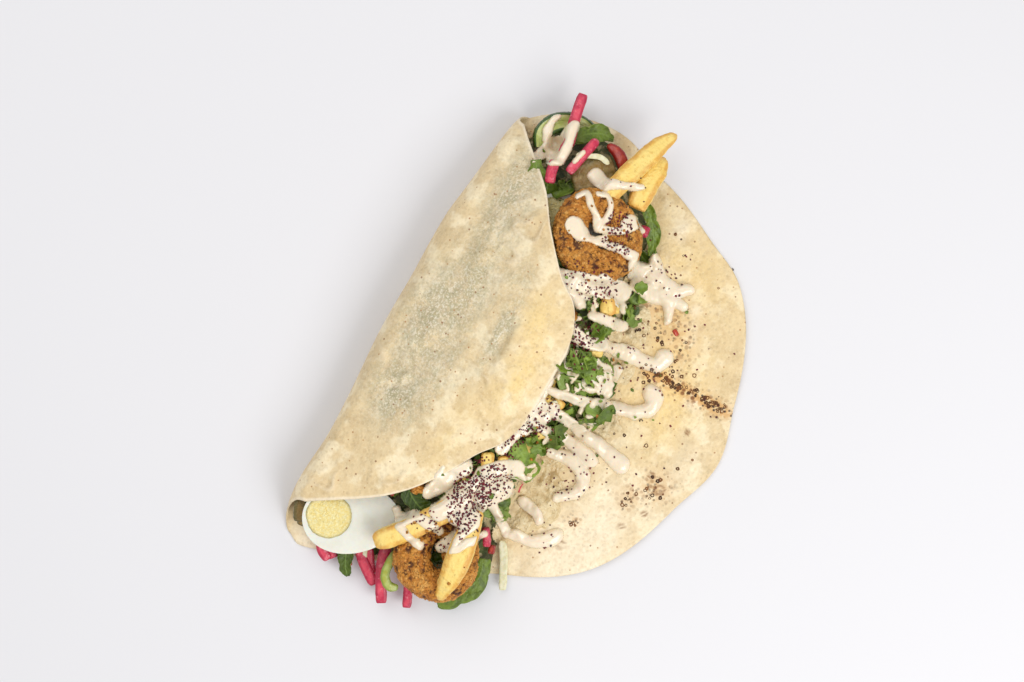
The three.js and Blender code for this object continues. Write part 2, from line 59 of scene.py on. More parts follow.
# Curves through knots: the bread's ends give X for each Y, the fold line and the heap's two sides give Y for
# each X, the rim's wobble is by degrees round the circle, and the rest give a height or a share for each X.
LOWER_RIGHT = [(-22, 131.5), (11, 143), (43, 139), (58, 131), (66, 124)]
LOWER_LEFT = [(-55, -121.4), (-25, -137), (5, -149), (35, -158.5), (58, -166.5), (66, -163)]
FLAP_RIGHT = [
    (-22.5, 12), (-19, 26), (-12, 38.5), (1, 48), (13, 60.5), (23, 72), (33, 86), (44, 97), (59, 110),
    (66, 117),
]
FLAP_LEFT = [
    (-22.5, -31), (-17, -49), (-6.5, -64), (2, -79.5), (13, -96), (25, -109), (39, -120), (54, -130),
    (66, -138),
]
FOLD_LINE = [
    (-163, 73), (-131, 76.6), (-99, 75), (-69, 76.2), (-30, 79), (11, 79), (41, 80), (74, 76.6), (110, 73),
    (124, 70.5),
]
RIM_WOBBLE = [(-155, 0), (-133, 3), (-106, -2.4), (-90, 2.2), (-74, -2), (-43, 3), (-29, -1.8), (-10, 0)]
FOLD_HEIGHT = [
    (-163, 7), (-138, 29), (-120, 30), (-60, 32), (0, 34), (50, 33), (80, 30), (100, 26), (124, 14),
]
RIDGE_HEIGHT = [
    (-140, 32), (-120, 36), (-100, 38), (-60, 41), (-20, 44), (20, 46), (50, 45), (75, 42), (100, 34),
    (124, 21),
]
# Hills as hills() takes them.
FLAP_LUMPS = [(55, 30, 16, 11, 1.8), (-25, 0, 24, 15, 2.2), (10, 35, 20, 12, -1.6), (-70, 30, 26, 14, 1.4)]
HEAP_MOUNDS = [(-84, -22, 22, 13, 8), (76, 16, 26, 16, -9), (-133, 38, 20, 24, -9)]
HEAP_OUTSIDE = [
    (-150, -22), (-140, -42), (-126, -50), (-110, -47), (-84, -43), (-54, -46), (-34, -47), (-13, -62),
    (5, -63), (26, -53), (43, -47), (68, -42), (84, -36), (98, -33), (114, -17), (128, -4), (136, 10),
]
HEAP_INSIDE = [(-150, 52), (-140, 60), (-120, 64), (80, 64), (110, 62), (125, 54), (136, 38)]
HEAP_ENDS = [(-150, 0.42), (-138, 0.66), (-115, 1), (100, 1), (122, 0.86), (136, 0.6)]

# ---------- curves, noise and faces ----------

LATTICE_SIDE = 24
LATTICE = np.random.default_rng(11).uniform(-1, 1, (LATTICE_SIDE,) * 3)


def through(knots, v):
    """Smooth curve through (position, value) knots: cubic Hermite pieces whose slope at a knot is the
    rise between its two neighbours over their distance, level past both ends."""
    k = np.asarray(knots, float)
    v = np.clip(np.asarray(v, float), k[0, 0], k[-1, 0])
    last = len(k) - 1
    i = np.clip(np.searchsorted(k[:, 0], v, side="right") - 1, 0, last - 1)
    ahead = np.minimum(np.arange(last + 1) + 1, last)
    behind = np.maximum(np.arange(last + 1) - 1, 0)
    slope = (k[ahead, 1] - k[behind, 1]) / (k[ahead, 0] - k[behind, 0])
    width = k[i + 1, 0] - k[i, 0]
    t = (v - k[i, 0]) / width
    rise = 3 * t**2 - 2 * t**3
    leave = slope[i] * width * (t**3 - 2 * t**2 + t)
    arrive = slope[i + 1] * width * (t**3 - t**2)
    return k[i, 1] * (1 - rise) + k[i + 1, 1] * rise + leave + arrive


def noise(points, size, seed=0):
    """Smooth value noise from -1 to 1: random values at the corners of cubes of the given size, blended
    across each cube by smoothstep weights."""
    p = np.asarray(points, float) / size + 7.31 * seed
    cell = np.floor(p).astype(int)
    f = p - cell
    f = f * f * (3 - 2 * f)
    total = 0.0
    for corner in range(8):
        bits = np.array([corner & 1, (corner >> 1) & 1, corner >> 2])
        weight = np.prod(np.where(bits == 1, f, 1 - f), axis=-1)
        at = (cell + bits) % LATTICE_SIDE
        total = total + weight * LATTICE[at[..., 0], at[..., 1], at[..., 2]]
    return total


def rough(points, size, layers=3, seed=0):
    """Sum of noise layers, each half as high and half as wide as the one before."""
    return sum(0.5**k * noise(points, size * 0.5**k, seed + k) for k in range(layers))


def smooth_step(low, high, v):
    """0 below low, 1 above high, and an S curve between them."""
    t = np.clip((np.asarray(v, float) - low) / (high - low), 0, 1)
    return t * t * (3 - 2 * t)


def hills(x, y, rows):
    """Sum of bell-shaped hills, each given as x, y, radius along X, radius along Y and height."""
    return sum(h * np.exp(-(((x - cx) / rx) ** 2) - ((y - cy) / ry) ** 2) for cx, cy, rx, ry, h in rows)


def grid_quads(rows, columns, closed_rows=False, closed_columns=False):
    """Quads of a grid of rows by columns points, joined round where it is closed."""
    r = np.arange(rows if closed_rows else rows - 1)
    c = np.arange(columns if closed_columns else columns - 1)
    r, c = np.meshgrid(r, c, indexing="ij")
    r2 = (r + 1) % rows
    c2 = (c + 1) % columns
    corners = [r * columns + c, r * columns + c2, r2 * columns + c2, r2 * columns + c]
    return np.stack(corners, -1).reshape(-1, 4)


def unit(vectors):
    """The vectors divided by their lengths."""
    return vectors / np.maximum(np.linalg.norm(vectors, axis=-1, keepdims=True), 1e-9)


def flat(x, y):
    """Points at x, y and height zero, for noise that follows the plan only."""
    return np.stack([x, y, 0 * x], -1)


def round_turn(count):
    """Even angles round a full turn."""
    return np.linspace(0, TURN, count, endpoint=False)


def signed_power(v, power):
    """The size of each value raised to the power, with its sign kept."""
    return np.sign(v) * np.abs(v) ** power


def ball_grid(rows, columns, pole):
    """Points of a unit ball in rows of even latitude, which stop at an angle short of both poles."""
    lat = np.linspace(-math.pi / 2 + pole, math.pi / 2 - pole, rows)[:, None]
    lon = round_turn(columns)[None, :]
    return np.stack([np.cos(lat) * np.cos(lon), np.cos(lat) * np.sin(lon), np.sin(lat) + 0 * lon], -1)


def both_sides(upper, under):
    """The points of two grids in one list, the upper grid first."""
    return np.concatenate([upper.reshape(-1, 3), under.reshape(-1, 3)])


def shell(middle, normal, half):
    """A closed thin sheet on a grid of middle points: one side is moved out along the normals by half the
    thickness, the other side moved in, and a rim joins the two edges."""
    offset = normal * half
    return both_sides(middle + offset, middle - offset), shell_quads(*middle.shape[:2])


def shell_quads(rows, columns):
    """Quads of a closed thin sheet: the upper grid, the lower grid turned round, and the rim."""
    count = rows * columns
    upper = grid_quads(rows, columns)
    lower = upper[:, ::-1] + count
    g = np.arange(count).reshape(rows, columns)
    ring = np.concatenate([g[0, :-1], g[:-1, -1], g[-1, :0:-1], g[:0:-1, 0]])
    ahead = np.roll(ring, -1)
    rim = np.stack([ahead, ring, ring + count, ahead + count], -1)
    return np.concatenate([upper, lower, rim])


def grid_normals(p):
    """Unit normals of a grid of points: the cross product of its steps along the columns and the rows."""
    return unit(np.cross(np.gradient(p, axis=1), np.gradient(p, axis=0)))


def ringed(rings):
    """A closed body from rings of points: neighbouring rings are joined, and each end ring is closed by
    a fan of triangles to its own middle."""
    rows, columns = rings.shape[:2]
    poles = np.stack([rings[0].mean(0), rings[-1].mean(0)])
    points = np.concatenate([rings.reshape(-1, 3), poles])
    quads = grid_quads(rows, columns, closed_columns=True)
    ring = np.arange(columns)
    ahead = np.roll(ring, -1)
    first = np.stack([np.full(columns, rows * columns), ahead, ring], -1)
    end = (rows - 1) * columns
    final = np.stack([np.full(columns, rows * columns + 1), end + ring, end + ahead], -1)
    return points, quads, np.concatenate([first, final])


def turned(points, place, turns):
    """Points turned about X, then Y, then Z by the angles in degrees, and then moved to their place."""
    ax, ay, az = np.radians(turns)
    rx = np.array([[1, 0, 0], [0, math.cos(ax), -math.sin(ax)], [0, math.sin(ax), math.cos(ax)]])
    ry = np.array([[math.cos(ay), 0, math.sin(ay)], [0, 1, 0], [-math.sin(ay), 0, math.cos(ay)]])
    rz = np.array([[math.cos(az), -math.sin(az), 0], [math.sin(az), math.cos(az), 0], [0, 0, 1]])
    return points @ (rz @ ry @ rx).T + np.asarray(place, float)


def along_path(path, share):
    """Points on a smooth curve through the path, at shares of its length; each coordinate is a curve
    through knots at the path's running chord length."""
    p = np.asarray(path, float)
    run = np.concatenate([[0], np.cumsum(np.linalg.norm(np.diff(p, axis=0), axis=1))])
    at = np.asarray(share) * run[-1]
    return np.stack([through(np.stack([run, p[:, k]], -1), at) for k in range(3)], -1)


def frames(path, share):
    """Points at shares of a path's length, with three unit directions there: along the path, level to its
    side, and upwards from both."""
    ahead, behind = np.minimum(share + 0.01, 1), np.maximum(share - 0.01, 0)
    tangent = unit(along_path(path, ahead) - along_path(path, behind))
    side = unit(np.cross(tangent, (0, 0, 1)))
    return along_path(path, share), tangent, side, np.cross(side, tangent)


# ---------- the ground map: the highest surface over every spot, for what lies on top ----------

MAP_CELL = 0.6
MAP_LOW = np.array([-180.0, -142.0])
MAP_SIZE = (580, 385)
ground = np.zeros(MAP_SIZE)


def cover(points, quads):
    """Raises the ground map to a surface. Each quad is sampled on a 4 by 4 bilinear grid, and each cell
    of the map keeps its highest sample."""
    corners = points[quads]
    shares = (0.125, 0.375, 0.625, 0.875)
    for a in shares:
        near = corners[:, 0] * (1 - a) + corners[:, 1] * a
        far = corners[:, 3] * (1 - a) + corners[:, 2] * a
        for b in shares:
            sample = near * (1 - b) + far * b
            cell = np.floor((sample[:, :2] - MAP_LOW) / MAP_CELL).astype(int)
            cell = np.clip(cell, 0, np.array(MAP_SIZE) - 1)
            np.maximum.at(ground, (cell[:, 0], cell[:, 1]), sample[:, 2])


def soften(field, passes):
    """The field after repeated averaging with its neighbours, weights one, two, one along both axes."""
    for _ in range(passes):
        padded = np.pad(field, 1, mode="edge")
        field = (padded[:-2, 1:-1] + 2 * padded[1:-1, 1:-1] + padded[2:, 1:-1]) / 4
        padded = np.pad(field, 1, mode="edge")
        field = (padded[1:-1, :-2] + 2 * padded[1:-1, 1:-1] + padded[1:-1, 2:]) / 4
    return field


def height_at(field, x, y):
    """Value of a map between its cells, by bilinear weights."""
    u = (np.asarray(x) - MAP_LOW[0]) / MAP_CELL - 0.5
    v = (np.asarray(y) - MAP_LOW[1]) / MAP_CELL - 0.5
    i = np.clip(np.floor(u).astype(int), 0, MAP_SIZE[0] - 2)
    j = np.clip(np.floor(v).astype(int), 0, MAP_SIZE[1] - 2)
    a = np.clip(u - i, 0, 1)
    b = np.clip(v - j, 0, 1)
    low = field[i, j] * (1 - a) + field[i + 1, j] * a
    high = field[i, j + 1] * (1 - a) + field[i + 1, j + 1] * a
    return low * (1 - b) + high * b


# ---------- putting a piece into the scene ----------


def outward(points, quads, triangles):
    """The faces, all turned round if the closed surface's signed volume comes out negative."""
    tri = np.concatenate([quads[:, [0, 1, 2]], quads[:, [0, 2, 3]], triangles])
    a, b, c = points[tri[:, 0]], points[tri[:, 1]], points[tri[:, 2]]
    if np.einsum("ij,ij->i", a, np.cross(b, c)).sum() < 0:
        return quads[:, ::-1], triangles[:, ::-1]
    return quads, triangles


NO_TRIANGLES = np.zeros((0, 3), int)


def add_piece(
    name, points, quads, material, triangles=NO_TRIANGLES, marks=None, stands_for=(), covers=True,
):
    """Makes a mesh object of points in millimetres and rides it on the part. marks are
    values at the points that its material reads by name. A piece that covers raises the ground map."""
    if covers:
        cover(points, quads)
    quads, triangles = outward(points, quads, triangles)
    mesh = bpy.data.meshes.new(name)
    loops = np.concatenate([quads.ravel(), triangles.ravel()]).astype(np.int32)
    sizes = np.concatenate([np.full(len(quads), 4), np.full(len(triangles), 3)])
    starts = np.concatenate([[0], np.cumsum(sizes)[:-1]]).astype(np.int32)
    mesh.vertices.add(len(points))
    mesh.vertices.foreach_set("co", (points * MM).astype(np.float32).ravel())
    mesh.loops.add(len(loops))
    mesh.loops.foreach_set("vertex_index", loops)
    mesh.polygons.add(len(sizes))
    mesh.polygons.foreach_set("loop_start", starts)
    mesh.update(calc_edges=True)
    mesh.validate()
    mesh.polygons.foreach_set("use_smooth", np.ones(len(mesh.polygons), bool))
    for key, values in (marks or {}).items():
        layer = mesh.attributes.new(key, "FLOAT", "POINT")
        layer.data.foreach_set("value", np.asarray(values, np.float32).ravel())
    piece = bpy.data.objects.new(name, mesh)
    bpy.context.scene.collection.objects.link(piece)
    mesh.materials.append(material)
    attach(piece, "root")
    if stands_for:
        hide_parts(*stands_for)


def add_joined(name, parts, material, covers=False):
    """Joins parts of one kind into one piece, each as points, quads, triangles and marks."""
    every_points, every_quads, every_triangles, every_marks = zip(*parts)
    starts = np.cumsum([0, *map(len, every_points)])
    quads = np.concatenate([faces + start for faces, start in zip(every_quads, starts)])
    triangles = np.concatenate([faces + start for faces, start in zip(every_triangles, starts)])
    marks = {key: np.concatenate([own[key] for own in every_marks]) for key in every_marks[0]}
    add_piece(name, np.concatenate(every_points), quads, material, triangles, marks, (), covers)


# ---------- finishes ----------


def shade(red, green, blue):
    """A colour given as 0 to 255 screen values, as the linear colour that shaders take."""
    c = np.array([red, green, blue]) / 255
    linear = np.where(c <= 0.04045, c / 12.92, ((c + 0.055) / 1.055) ** 2.4)
    return (*[float(v) for v in linear], 1.0)


def new_effect(name, inputs, nodes, links):
    """A shader node group with the named inputs and one output, Mask. Its nodes are given by a short name, as
    type, settings and input values, and its links as from node, output, to node and input."""
    tree = bpy.data.node_groups.new(name, "ShaderNodeTree")
    for title in inputs:
        kind = "NodeSocketVector" if title == "Vector" else "NodeSocketFloat"
        tree.interface.new_socket(title, in_out="INPUT", socket_type=kind)
    tree.interface.new_socket("Mask", in_out="OUTPUT", socket_type="NodeSocketFloat")
    made = {"given": tree.nodes.new("NodeGroupInput"), "result": tree.nodes.new("NodeGroupOutput")}
    for key, (kind, settings, values) in nodes.items():
        made[key] = tree.nodes.new("ShaderNode" + kind)
        for setting, value in settings.items():
            setattr(made[key], setting, value)
        for socket, value in values.items():
            made[key].inputs[socket].default_value = value
    for start, output, end, socket in links:
        tree.links.new(made[start].outputs[output], made[end].inputs[socket])
    return tree


# Soft blotches: noise at a scale, pulled apart between a low and a high level into a mask.
BLOTCHES = new_effect(
    "blotches", ["Vector", "Scale", "Detail", "Low", "High"],
    {"cloud": ("TexNoise", {}, {}), "level": ("MapRange", {"interpolation_type": "SMOOTHSTEP"}, {})},
    [
        ("given", "Vector", "cloud", "Vector"), ("given", "Scale", "cloud", "Scale"),
        ("given", "Detail", "cloud", "Detail"), ("cloud", "Fac", "level", "Value"),
        ("given", "Low", "level", "From Min"), ("given", "High", "level", "From Max"),
        ("level", "Result", "result", "Mask"),
    ],
)
# Small separate dots: cells whose random colour is under a share show a dot of the given radius round
# their middle, with a soft edge.
SPECKS = new_effect(
    "specks", ["Vector", "Scale", "Radius", "Share"],
    {
        "cells": ("TexVoronoi", {}, {}),
        "dot": ("MapRange", {}, {"From Max": 0.0, "To Min": 0.0, "To Max": 1.0}),
        "pick": ("SeparateColor", {}, {}),
        "chosen": ("Math", {"operation": "LESS_THAN"}, {}),
        "sharper": ("Math", {"operation": "MULTIPLY", "use_clamp": True}, {1: 2.5}),
        "both": ("Math", {"operation": "MULTIPLY"}, {}),
    },
    [
        ("given", "Vector", "cells", "Vector"), ("given", "Scale", "cells", "Scale"),
        ("cells", "Distance", "dot", "Value"), ("given", "Radius", "dot", "From Min"),
        ("cells", "Color", "pick", "Color"), ("pick", "Red", "chosen", 0), ("given", "Share", "chosen", 1),
        ("dot", "Result", "sharper", 0), ("sharper", "Value", "both", 0), ("chosen", "Value", "both", 1),
        ("both", "Value", "result", "Mask"),
    ],
)


def patch(size, low, high, detail=4.0):
    """Blotches about size millimetres wide."""
    return BLOTCHES, {"Scale": 1 / (size * MM), "Detail": detail, "Low": low, "High": high}


def dots(size, radius, share):
    """Dots, one to a cell of size millimetres in the given share of the cells."""
    return SPECKS, {"Scale": 1 / (size * MM), "Radius": radius, "Share": share}


def add_node(tree, kind, values, **settings):
    """A new node with its settings; each input is linked to a socket or set to a value."""
    node = tree.nodes.new("ShaderNode" + kind)
    for setting, value in settings.items():
        setattr(node, setting, value)
    for title, value in values.items():
        if isinstance(value, bpy.types.NodeSocket):
            tree.links.new(value, node.inputs[title])
        else:
            node.inputs[title].default_value = value
    return node


def mask_of(tree, place, factors):
    """The product of the factors, kept from 0 to 1. A factor is blotches or dots, the name of a mark that the
    piece carries at its points, or a number."""
    total = None
    for factor in factors:
        if isinstance(factor, str):
            factor = add_node(tree, "Attribute", {}, attribute_name=factor).outputs["Fac"]
        elif isinstance(factor, tuple):
            effect, values = factor
            factor = add_node(tree, "Group", {"Vector": place, **values}, node_tree=effect).outputs["Mask"]
        if total is None:
            total = factor
            continue
        node = add_node(tree, "Math", {0: total, 1: factor}, operation="MULTIPLY", use_clamp=True)
        total = node.outputs["Value"]
    return total


def finish(name, colour, roughness, tints, reliefs, constants=None):
    """A material: a ground colour, then tints laid over it in turn, each a colour and the factors of its
    mask, then bumps, each a depth in millimetres and its pattern. Constants are set on the shader."""
    material = bpy.data.materials.new(name)
    material.use_nodes = True
    tree = material.node_tree
    surface = tree.nodes["Principled BSDF"]
    for socket, value in {"Roughness": roughness, **(constants or {})}.items():
        surface.inputs[socket].default_value = value
    place = tree.nodes.new("ShaderNodeTexCoord").outputs["Object"]
    colour = shade(*colour)
    for tint, *factors in tints:
        values = {0: mask_of(tree, place, factors), 6: colour, 7: shade(*tint)}
        colour = add_node(tree, "Mix", values, data_type="RGBA").outputs[2]
    tree.links.new(colour, surface.inputs["Base Color"])
    normal = {}
    for depth, pattern in reliefs:
        height = mask_of(tree, place, [pattern])
        values = {"Distance": depth * MM, "Strength": 1.0, "Height": height, **normal}
        normal = {"Normal": add_node(tree, "Bump", values).outputs["Normal"]}
    for bump in normal.values():
        tree.links.new(bump, surface.inputs["Normal"])
    return material


def soft_light(weight, reach):
    """Constants for light that scatters inside a moist food, reach in millimetres."""
    return {
        "Subsurface Weight": weight,
        "Subsurface Radius": (1.0, 0.6, 0.35),
        "Subsurface Scale": reach * MM,
    }


# Thin baked flatbread: cream with yellow bloom, grey-green where the damp filling shows through, a painted
# shadow along a valley of the flap, painted light on the fold's open end, a painted highlight along the
# flap's edge, brown flecks and charred dots and rings.
BREAD = finish(
    "flatbread_bread", (229, 206, 160), 0.42,
    [
        ((216, 193, 148), patch(11, 0.42, 0.64, 6.0)),
        ((244, 228, 190), patch(15, 0.48, 0.6, 7.0), 0.95),
        ((241, 212, 146), "warm", patch(9, 0.2, 0.6, 6.0)),
        # Pale dry patches, and painted light on the fold's open end.
        ((250, 236, 206), "pale", 0.85),
        # Grey-green of the filling seen through the flap, and a painted shadow along the flap's valley above
        # the yellow mound.
        ((200, 188, 156), "damp", patch(12, 0.2, 0.6)),
        ((172, 168, 134), "damp", patch(7, 0.42, 0.58, 6.0), 0.8),
        ((156, 150, 116), "damp", patch(1.6, 0.46, 0.6), 0.5),
        ((230, 222, 200), "damp", patch(1.2, 0.5, 0.62), 0.8),
        ((212, 184, 134), patch(2.0, 0.5, 0.72), 0.28),
        ((248, 234, 204), patch(0.9, 0.54, 0.7), 0.3),
        ((168, 112, 60), dots(5.0, 0.13, 0.6), 0.8),
        ((128, 78, 42), dots(4.2, 0.18, 0.16), 0.8),
        ((212, 154, 76), "char", patch(3, 0.3, 0.55), 0.75),
        ((140, 90, 40), "char", dots(3.2, 0.5, 0.6)),
        ((60, 38, 20), "char", dots(2.4, 0.42, 0.6)),
        ((140, 90, 44), "ring", 0.8),
        # Painted highlight along the flap's edge, and lighter on its raised flaky ridges.
        ((246, 232, 206), "rim", 0.7),
    ],
    [(0.3, patch(6, 0.3, 0.7, 2.0)), (0.14, patch(2.2, 0.3, 0.7, 6.0)), (0.05, patch(0.8, 0.3, 0.7))],
)
# Fried chickpea crumb: painted shade in the crevices, painted light on the raised crumbs, golden grains and
# bits of herb.
FALAFEL = finish(
    "falafel_crumb", (192, 120, 36), 0.6,
    [
        ((214, 146, 56), patch(6, 0.35, 0.65)),
        ((150, 86, 28), patch(2.4, 0.52, 0.66), 0.5),
        # Painted light on the raised crumbs, then painted shade in the crevices.
        ((226, 166, 82), "peak", patch(1.6, 0.25, 0.6)),
        ((92, 50, 16), "pit"),
        ((232, 176, 92), dots(1.6, 0.42, 0.4), 0.65),
        ((104, 58, 22), dots(1.5, 0.34, 0.25), 0.6),
        ((88, 84, 40), dots(3.6, 0.16, 0.12), 0.7),
    ],
    [(0.7, patch(1.5, 0.3, 0.7, 3.0)), (0.45, dots(1.3, 0.5, 0.7))],
)
# Boiled egg white: cool, smooth and a little see-through, with faint uneven bloom.
EGG_WHITE = finish(
    "egg_white_boiled", (230, 229, 217), 0.22,
    [
        ((218, 218, 202), patch(9, 0.4, 0.65), 0.5),
    ],
    [(0.12, patch(4, 0.3, 0.7))],
    soft_light(0.3, 3.0),
)
# Hard yolk: crumbly yellow with a grey-green edge.
EGG_YOLK = finish(
    "egg_yolk_crumbly", (250, 230, 152), 0.75,
    [
        ((254, 242, 184), patch(1.3, 0.42, 0.62)),
        ((242, 212, 122), patch(2, 0.5, 0.66), 0.45),
        ((168, 160, 112), "edge", 0.75),
    ],
    [(0.45, patch(0.9, 0.3, 0.7))],
)
# Fried potato: pale gold with a browner skin on edges and ends, tiny blisters and an oily sheen.
FRY = finish(
    "fry_fried_potato", (240, 208, 118), 0.36,
    [
        ((240, 198, 90), patch(7, 0.4, 0.65)),
        ((214, 146, 52), "edge", patch(4, 0.25, 0.6), 0.75),
        ((250, 222, 132), "cut", 0.6),
        ((226, 172, 72), patch(3.2, 0.54, 0.7), 0.5),
    ],
    [(0.25, patch(1.6, 0.35, 0.7)), (0.2, dots(2.2, 0.4, 0.35))],
)
# Pickled turnip: wet pink, deeper on its corners, with paler streaks along it.
TURNIP = finish(
    "turnip_pickled", (222, 78, 98), 0.25,
    [
        ((190, 38, 72), patch(5, 0.4, 0.68)),
        ((158, 22, 58), "edge", 0.6),
        ((236, 136, 148), patch(2.6, 0.55, 0.72), 0.6),
    ],
    [(0.15, patch(2.0, 0.3, 0.7))],
    soft_light(0.2, 1.0),
)
# Pickled cucumber: olive brown, ribbed, wet, with pale seeds.
PICKLE = finish(
    "pickle_brined", (144, 112, 50), 0.26,
    [
        ((112, 92, 38), patch(6, 0.35, 0.65)),
        ((178, 152, 92), "rib", patch(3, 0.3, 0.7)),
        ((74, 76, 30), "edge", 0.7),
        ((196, 174, 112), dots(3.4, 0.2, 0.3), 0.5),
    ],
    [(0.5, patch(2.4, 0.3, 0.7))],
    {"Coat Weight": 0.2},
)
# Cucumber slice: wet yellow-green flesh, pale seeds and a dark rind.
CUCUMBER = finish(
    "cucumber_fresh", (196, 200, 130), 0.22,
    [
        ((174, 184, 92), patch(5, 0.4, 0.65)),
        ((222, 218, 166), dots(4.0, 0.25, 0.35), 0.6),
        ((58, 88, 26), "edge"),
    ],
    [(0.12, patch(2.0, 0.3, 0.7))],
    soft_light(0.25, 2.0),
)
# Tomato: glossy red skin over paler flesh.
TOMATO = finish(
    "tomato_ripe", (172, 48, 36), 0.22,
    [
        ((196, 76, 50), patch(5, 0.4, 0.65)),
        ((134, 26, 24), "edge", 0.7),
        ((224, 158, 96), dots(3.0, 0.25, 0.2), 0.6),
    ],
    [(0.12, patch(2.4, 0.3, 0.7))],
    soft_light(0.2, 1.5),
)
# Pickled green pepper strip: light green, waxy, paler inside.
PEPPER = finish(
    "pepper_green", (166, 172, 70), 0.25,
    [
        ((176, 188, 104), patch(4, 0.4, 0.65)),
        ((104, 128, 44), "edge", 0.6),
    ],
    [(0.1, patch(1.6, 0.3, 0.7))],
    soft_light(0.2, 1.5),
)
# Raw cabbage and onion strips: off-white, faintly green, with fine ribs.
CABBAGE = finish(
    "cabbage_raw", (232, 227, 196), 0.35,
    [
        ((218, 212, 168), patch(3, 0.4, 0.65)),
        ((214, 210, 160), "edge", 0.3),
    ],
    [(0.12, patch(1.2, 0.3, 0.7))],
    soft_light(0.2, 1.0),
)
# Parsley and lettuce: each leaf has its own tone, a paler back and pale veins.
LEAF = finish(
    "leaf_green", (54, 74, 2), 0.36,
    [
        ((140, 166, 54), "tone"),
        ((30, 50, 2), patch(4, 0.42, 0.65), 0.5),
        ((148, 170, 86), "back", 0.55),
        ((132, 160, 72), "vein", 0.55),
    ],
    [(0.18, patch(1.4, 0.3, 0.7))],
    {"Specular IOR Level": 0.4},
)
# Tahini sauce: smooth beige cream with a wet gloss.
TAHINI = finish(
    "tahini_sauce", (240, 225, 199), 0.24,
    [
        ((233, 215, 186), patch(8, 0.4, 0.65), 0.4),
        ((218, 194, 152), "thin", 0.6),
    ],
    [(0.25, patch(5, 0.3, 0.7, 1.0))],
    {**soft_light(0.3, 2.5), "Coat Weight": 0.6, "Coat Roughness": 0.06},
)
# Sumac: flakes from dark red to near black.
SUMAC = finish(
    "sumac_ground", (128, 26, 42), 0.5,
    [
        ((54, 22, 28), "tone"),
        ((146, 60, 66), patch(0.5, 0.5, 0.7), 0.4),
    ],
    [(0.08, patch(0.3, 0.3, 0.7))],
)
# Mixed salad core: dark greens, painted shade in its hollows and under the flap's edge, pale dressing-soaked
# crumb on the slope.
SALAD = finish(
    "salad_core", (120, 118, 62), 0.5,
    [
        ((70, 88, 30), patch(6, 0.42, 0.58)),
        ((206, 190, 140), patch(4.5, 0.54, 0.62)),
        # Painted shade in the hollows and under the flap's edge.
        ((44, 40, 16), "pit", 0.8),
        ((222, 202, 156), "pale", patch(5, 0.2, 0.5)),
    ],
    [(0.4, patch(1.6, 0.3, 0.7))],
    soft_light(0.1, 1.0),
)
# Mashed chickpea spread: beige, mealy, with painted shade where crumbs part, with a faint oily sheen.
SPREAD = finish(
    "chickpea_mash", (234, 214, 170), 0.42,
    [
        ((222, 198, 150), patch(5, 0.4, 0.62)),
        # Painted shade where crumbs part.
        ((196, 164, 110), "pit", 0.7),
        ((244, 230, 194), patch(1.4, 0.52, 0.66), 0.7),
        ((162, 120, 66), dots(3.0, 0.18, 0.2), 0.5),
    ],
    [(0.5, patch(1.6, 0.3, 0.7, 4.0))],
)
# Browned blisters on the bread, each its own tone from toast to near black.
CHAR = finish(
    "bread_char", (140, 84, 32), 0.65,
    [
        ((62, 38, 20), "tone"),
        ((40, 26, 14), patch(0.7, 0.5, 0.7), 0.4),
    ],
    [(0.06, patch(0.4, 0.3, 0.7))],
)

# ---------- the flatbread ----------

# Blisters and dimples: x, y, radius along X, radius along Y, height.
OPEN_BLISTERS = [
    (75, -73, 4, 3, 1.5), (27, -104, 4, 4, 1.6), (55, -95, 9, 6, 0.9), (-55, -100, 8, 7, 1.0),
    (100, -78, 8, 5, 1.0), (-5, -115, 10, 6, 0.9), (-105, -72, 8, 6, 1.0), (78, -92, 7, 6, 0.8),
]
FLAP_DIMPLES = [
    (-13, -4, 17, 10, 3.4), (-5, 13, 15, 3.6, -2.8), (38, 47, 8, 6, 2.0), (17, -2, 12, 9, 1.6),
    (-52, 40, 3.5, 8, 2.2), (-44, 50, 4, 6, -2.2), (-60, 52, 12, 9, -1.2), (68, 34, 8, 7, 1.4),
    (-90, 40, 14, 8, 1.2), (61, 58, 14, 6, -1.0), (-20, 44, 12, 7, -1.3), (90, 40, 8, 8, 0.9),
    (0, 34, 5, 9, 1.3), (14, 52, 7, 5, -1.2), (48, 16, 6, 9, 1.2), (30, 10, 5, 5, -1.2), (-34, 14, 8, 5, 1.2),
    (-28, 24, 7, 4, -1.1), (-72, 26, 9, 4, -1.0), (44, 32, 4, 8, -1.1), (-44, -14, 7, 5, 0.8),
]
# Creases as x, y at their two ends, width and height.
FLAP_CREASES = [
    (20, 10, -24, 14, 1.5, -0.7), (-50, 56, -38, 46, 1.5, 1.6), (-50, 44, -62, 60, 2.2, 1.2),
    (6, 14, 15, 5, 1.3, 1.5), (2, 5, 9, -7, 1.6, -1.4), (-42, 44, -48, 58, 1.5, 1.6),
    (-4, -4, -28, -14, 2.0, 0.9), (26, 30, 44, 22, 2.2, 1.0), (-70, 14, -50, 2, 2.2, 0.8),
    (30, 66, 52, 60, 2.6, 1.0), (-100, 62, -80, 66, 2.8, 0.8), (10, 12, 22, 16, 1.2, 1.1),
    (-36, 2, -30, 12, 1.2, 1.2), (-38, 6, -44, 0, 1.3, 1.1), (-12, -12, 4, -14, 1.6, 0.8),
    (36, 54, 42, 40, 1.6, 1.0), (52, 34, 60, 24, 1.8, 0.8), (-16, 18, 6, 20, 1.5, -1.0),
    (-60, 30, -52, 36, 1.4, 0.9), (72, 48, 84, 36, 1.8, 0.7), (-98, 44, -86, 34, 1.8, 0.7),
    (20, -8, 28, -2, 1.4, 0.9), (-26, -14, -20, -2, 1.5, 0.8),
]
OPEN_CREASES = [
    (103, -42, 121, -53, 2.2, 1.6), (84, -88, 96, -76, 1.4, 0.8), (-60, -75, -40, -88, 1.6, 0.7),
    (-66, -84, -52, -92, 1.4, 0.6), (60, -60, 78, -74, 2.0, 0.6), (-20, -96, 2, -104, 1.8, 0.6),
]
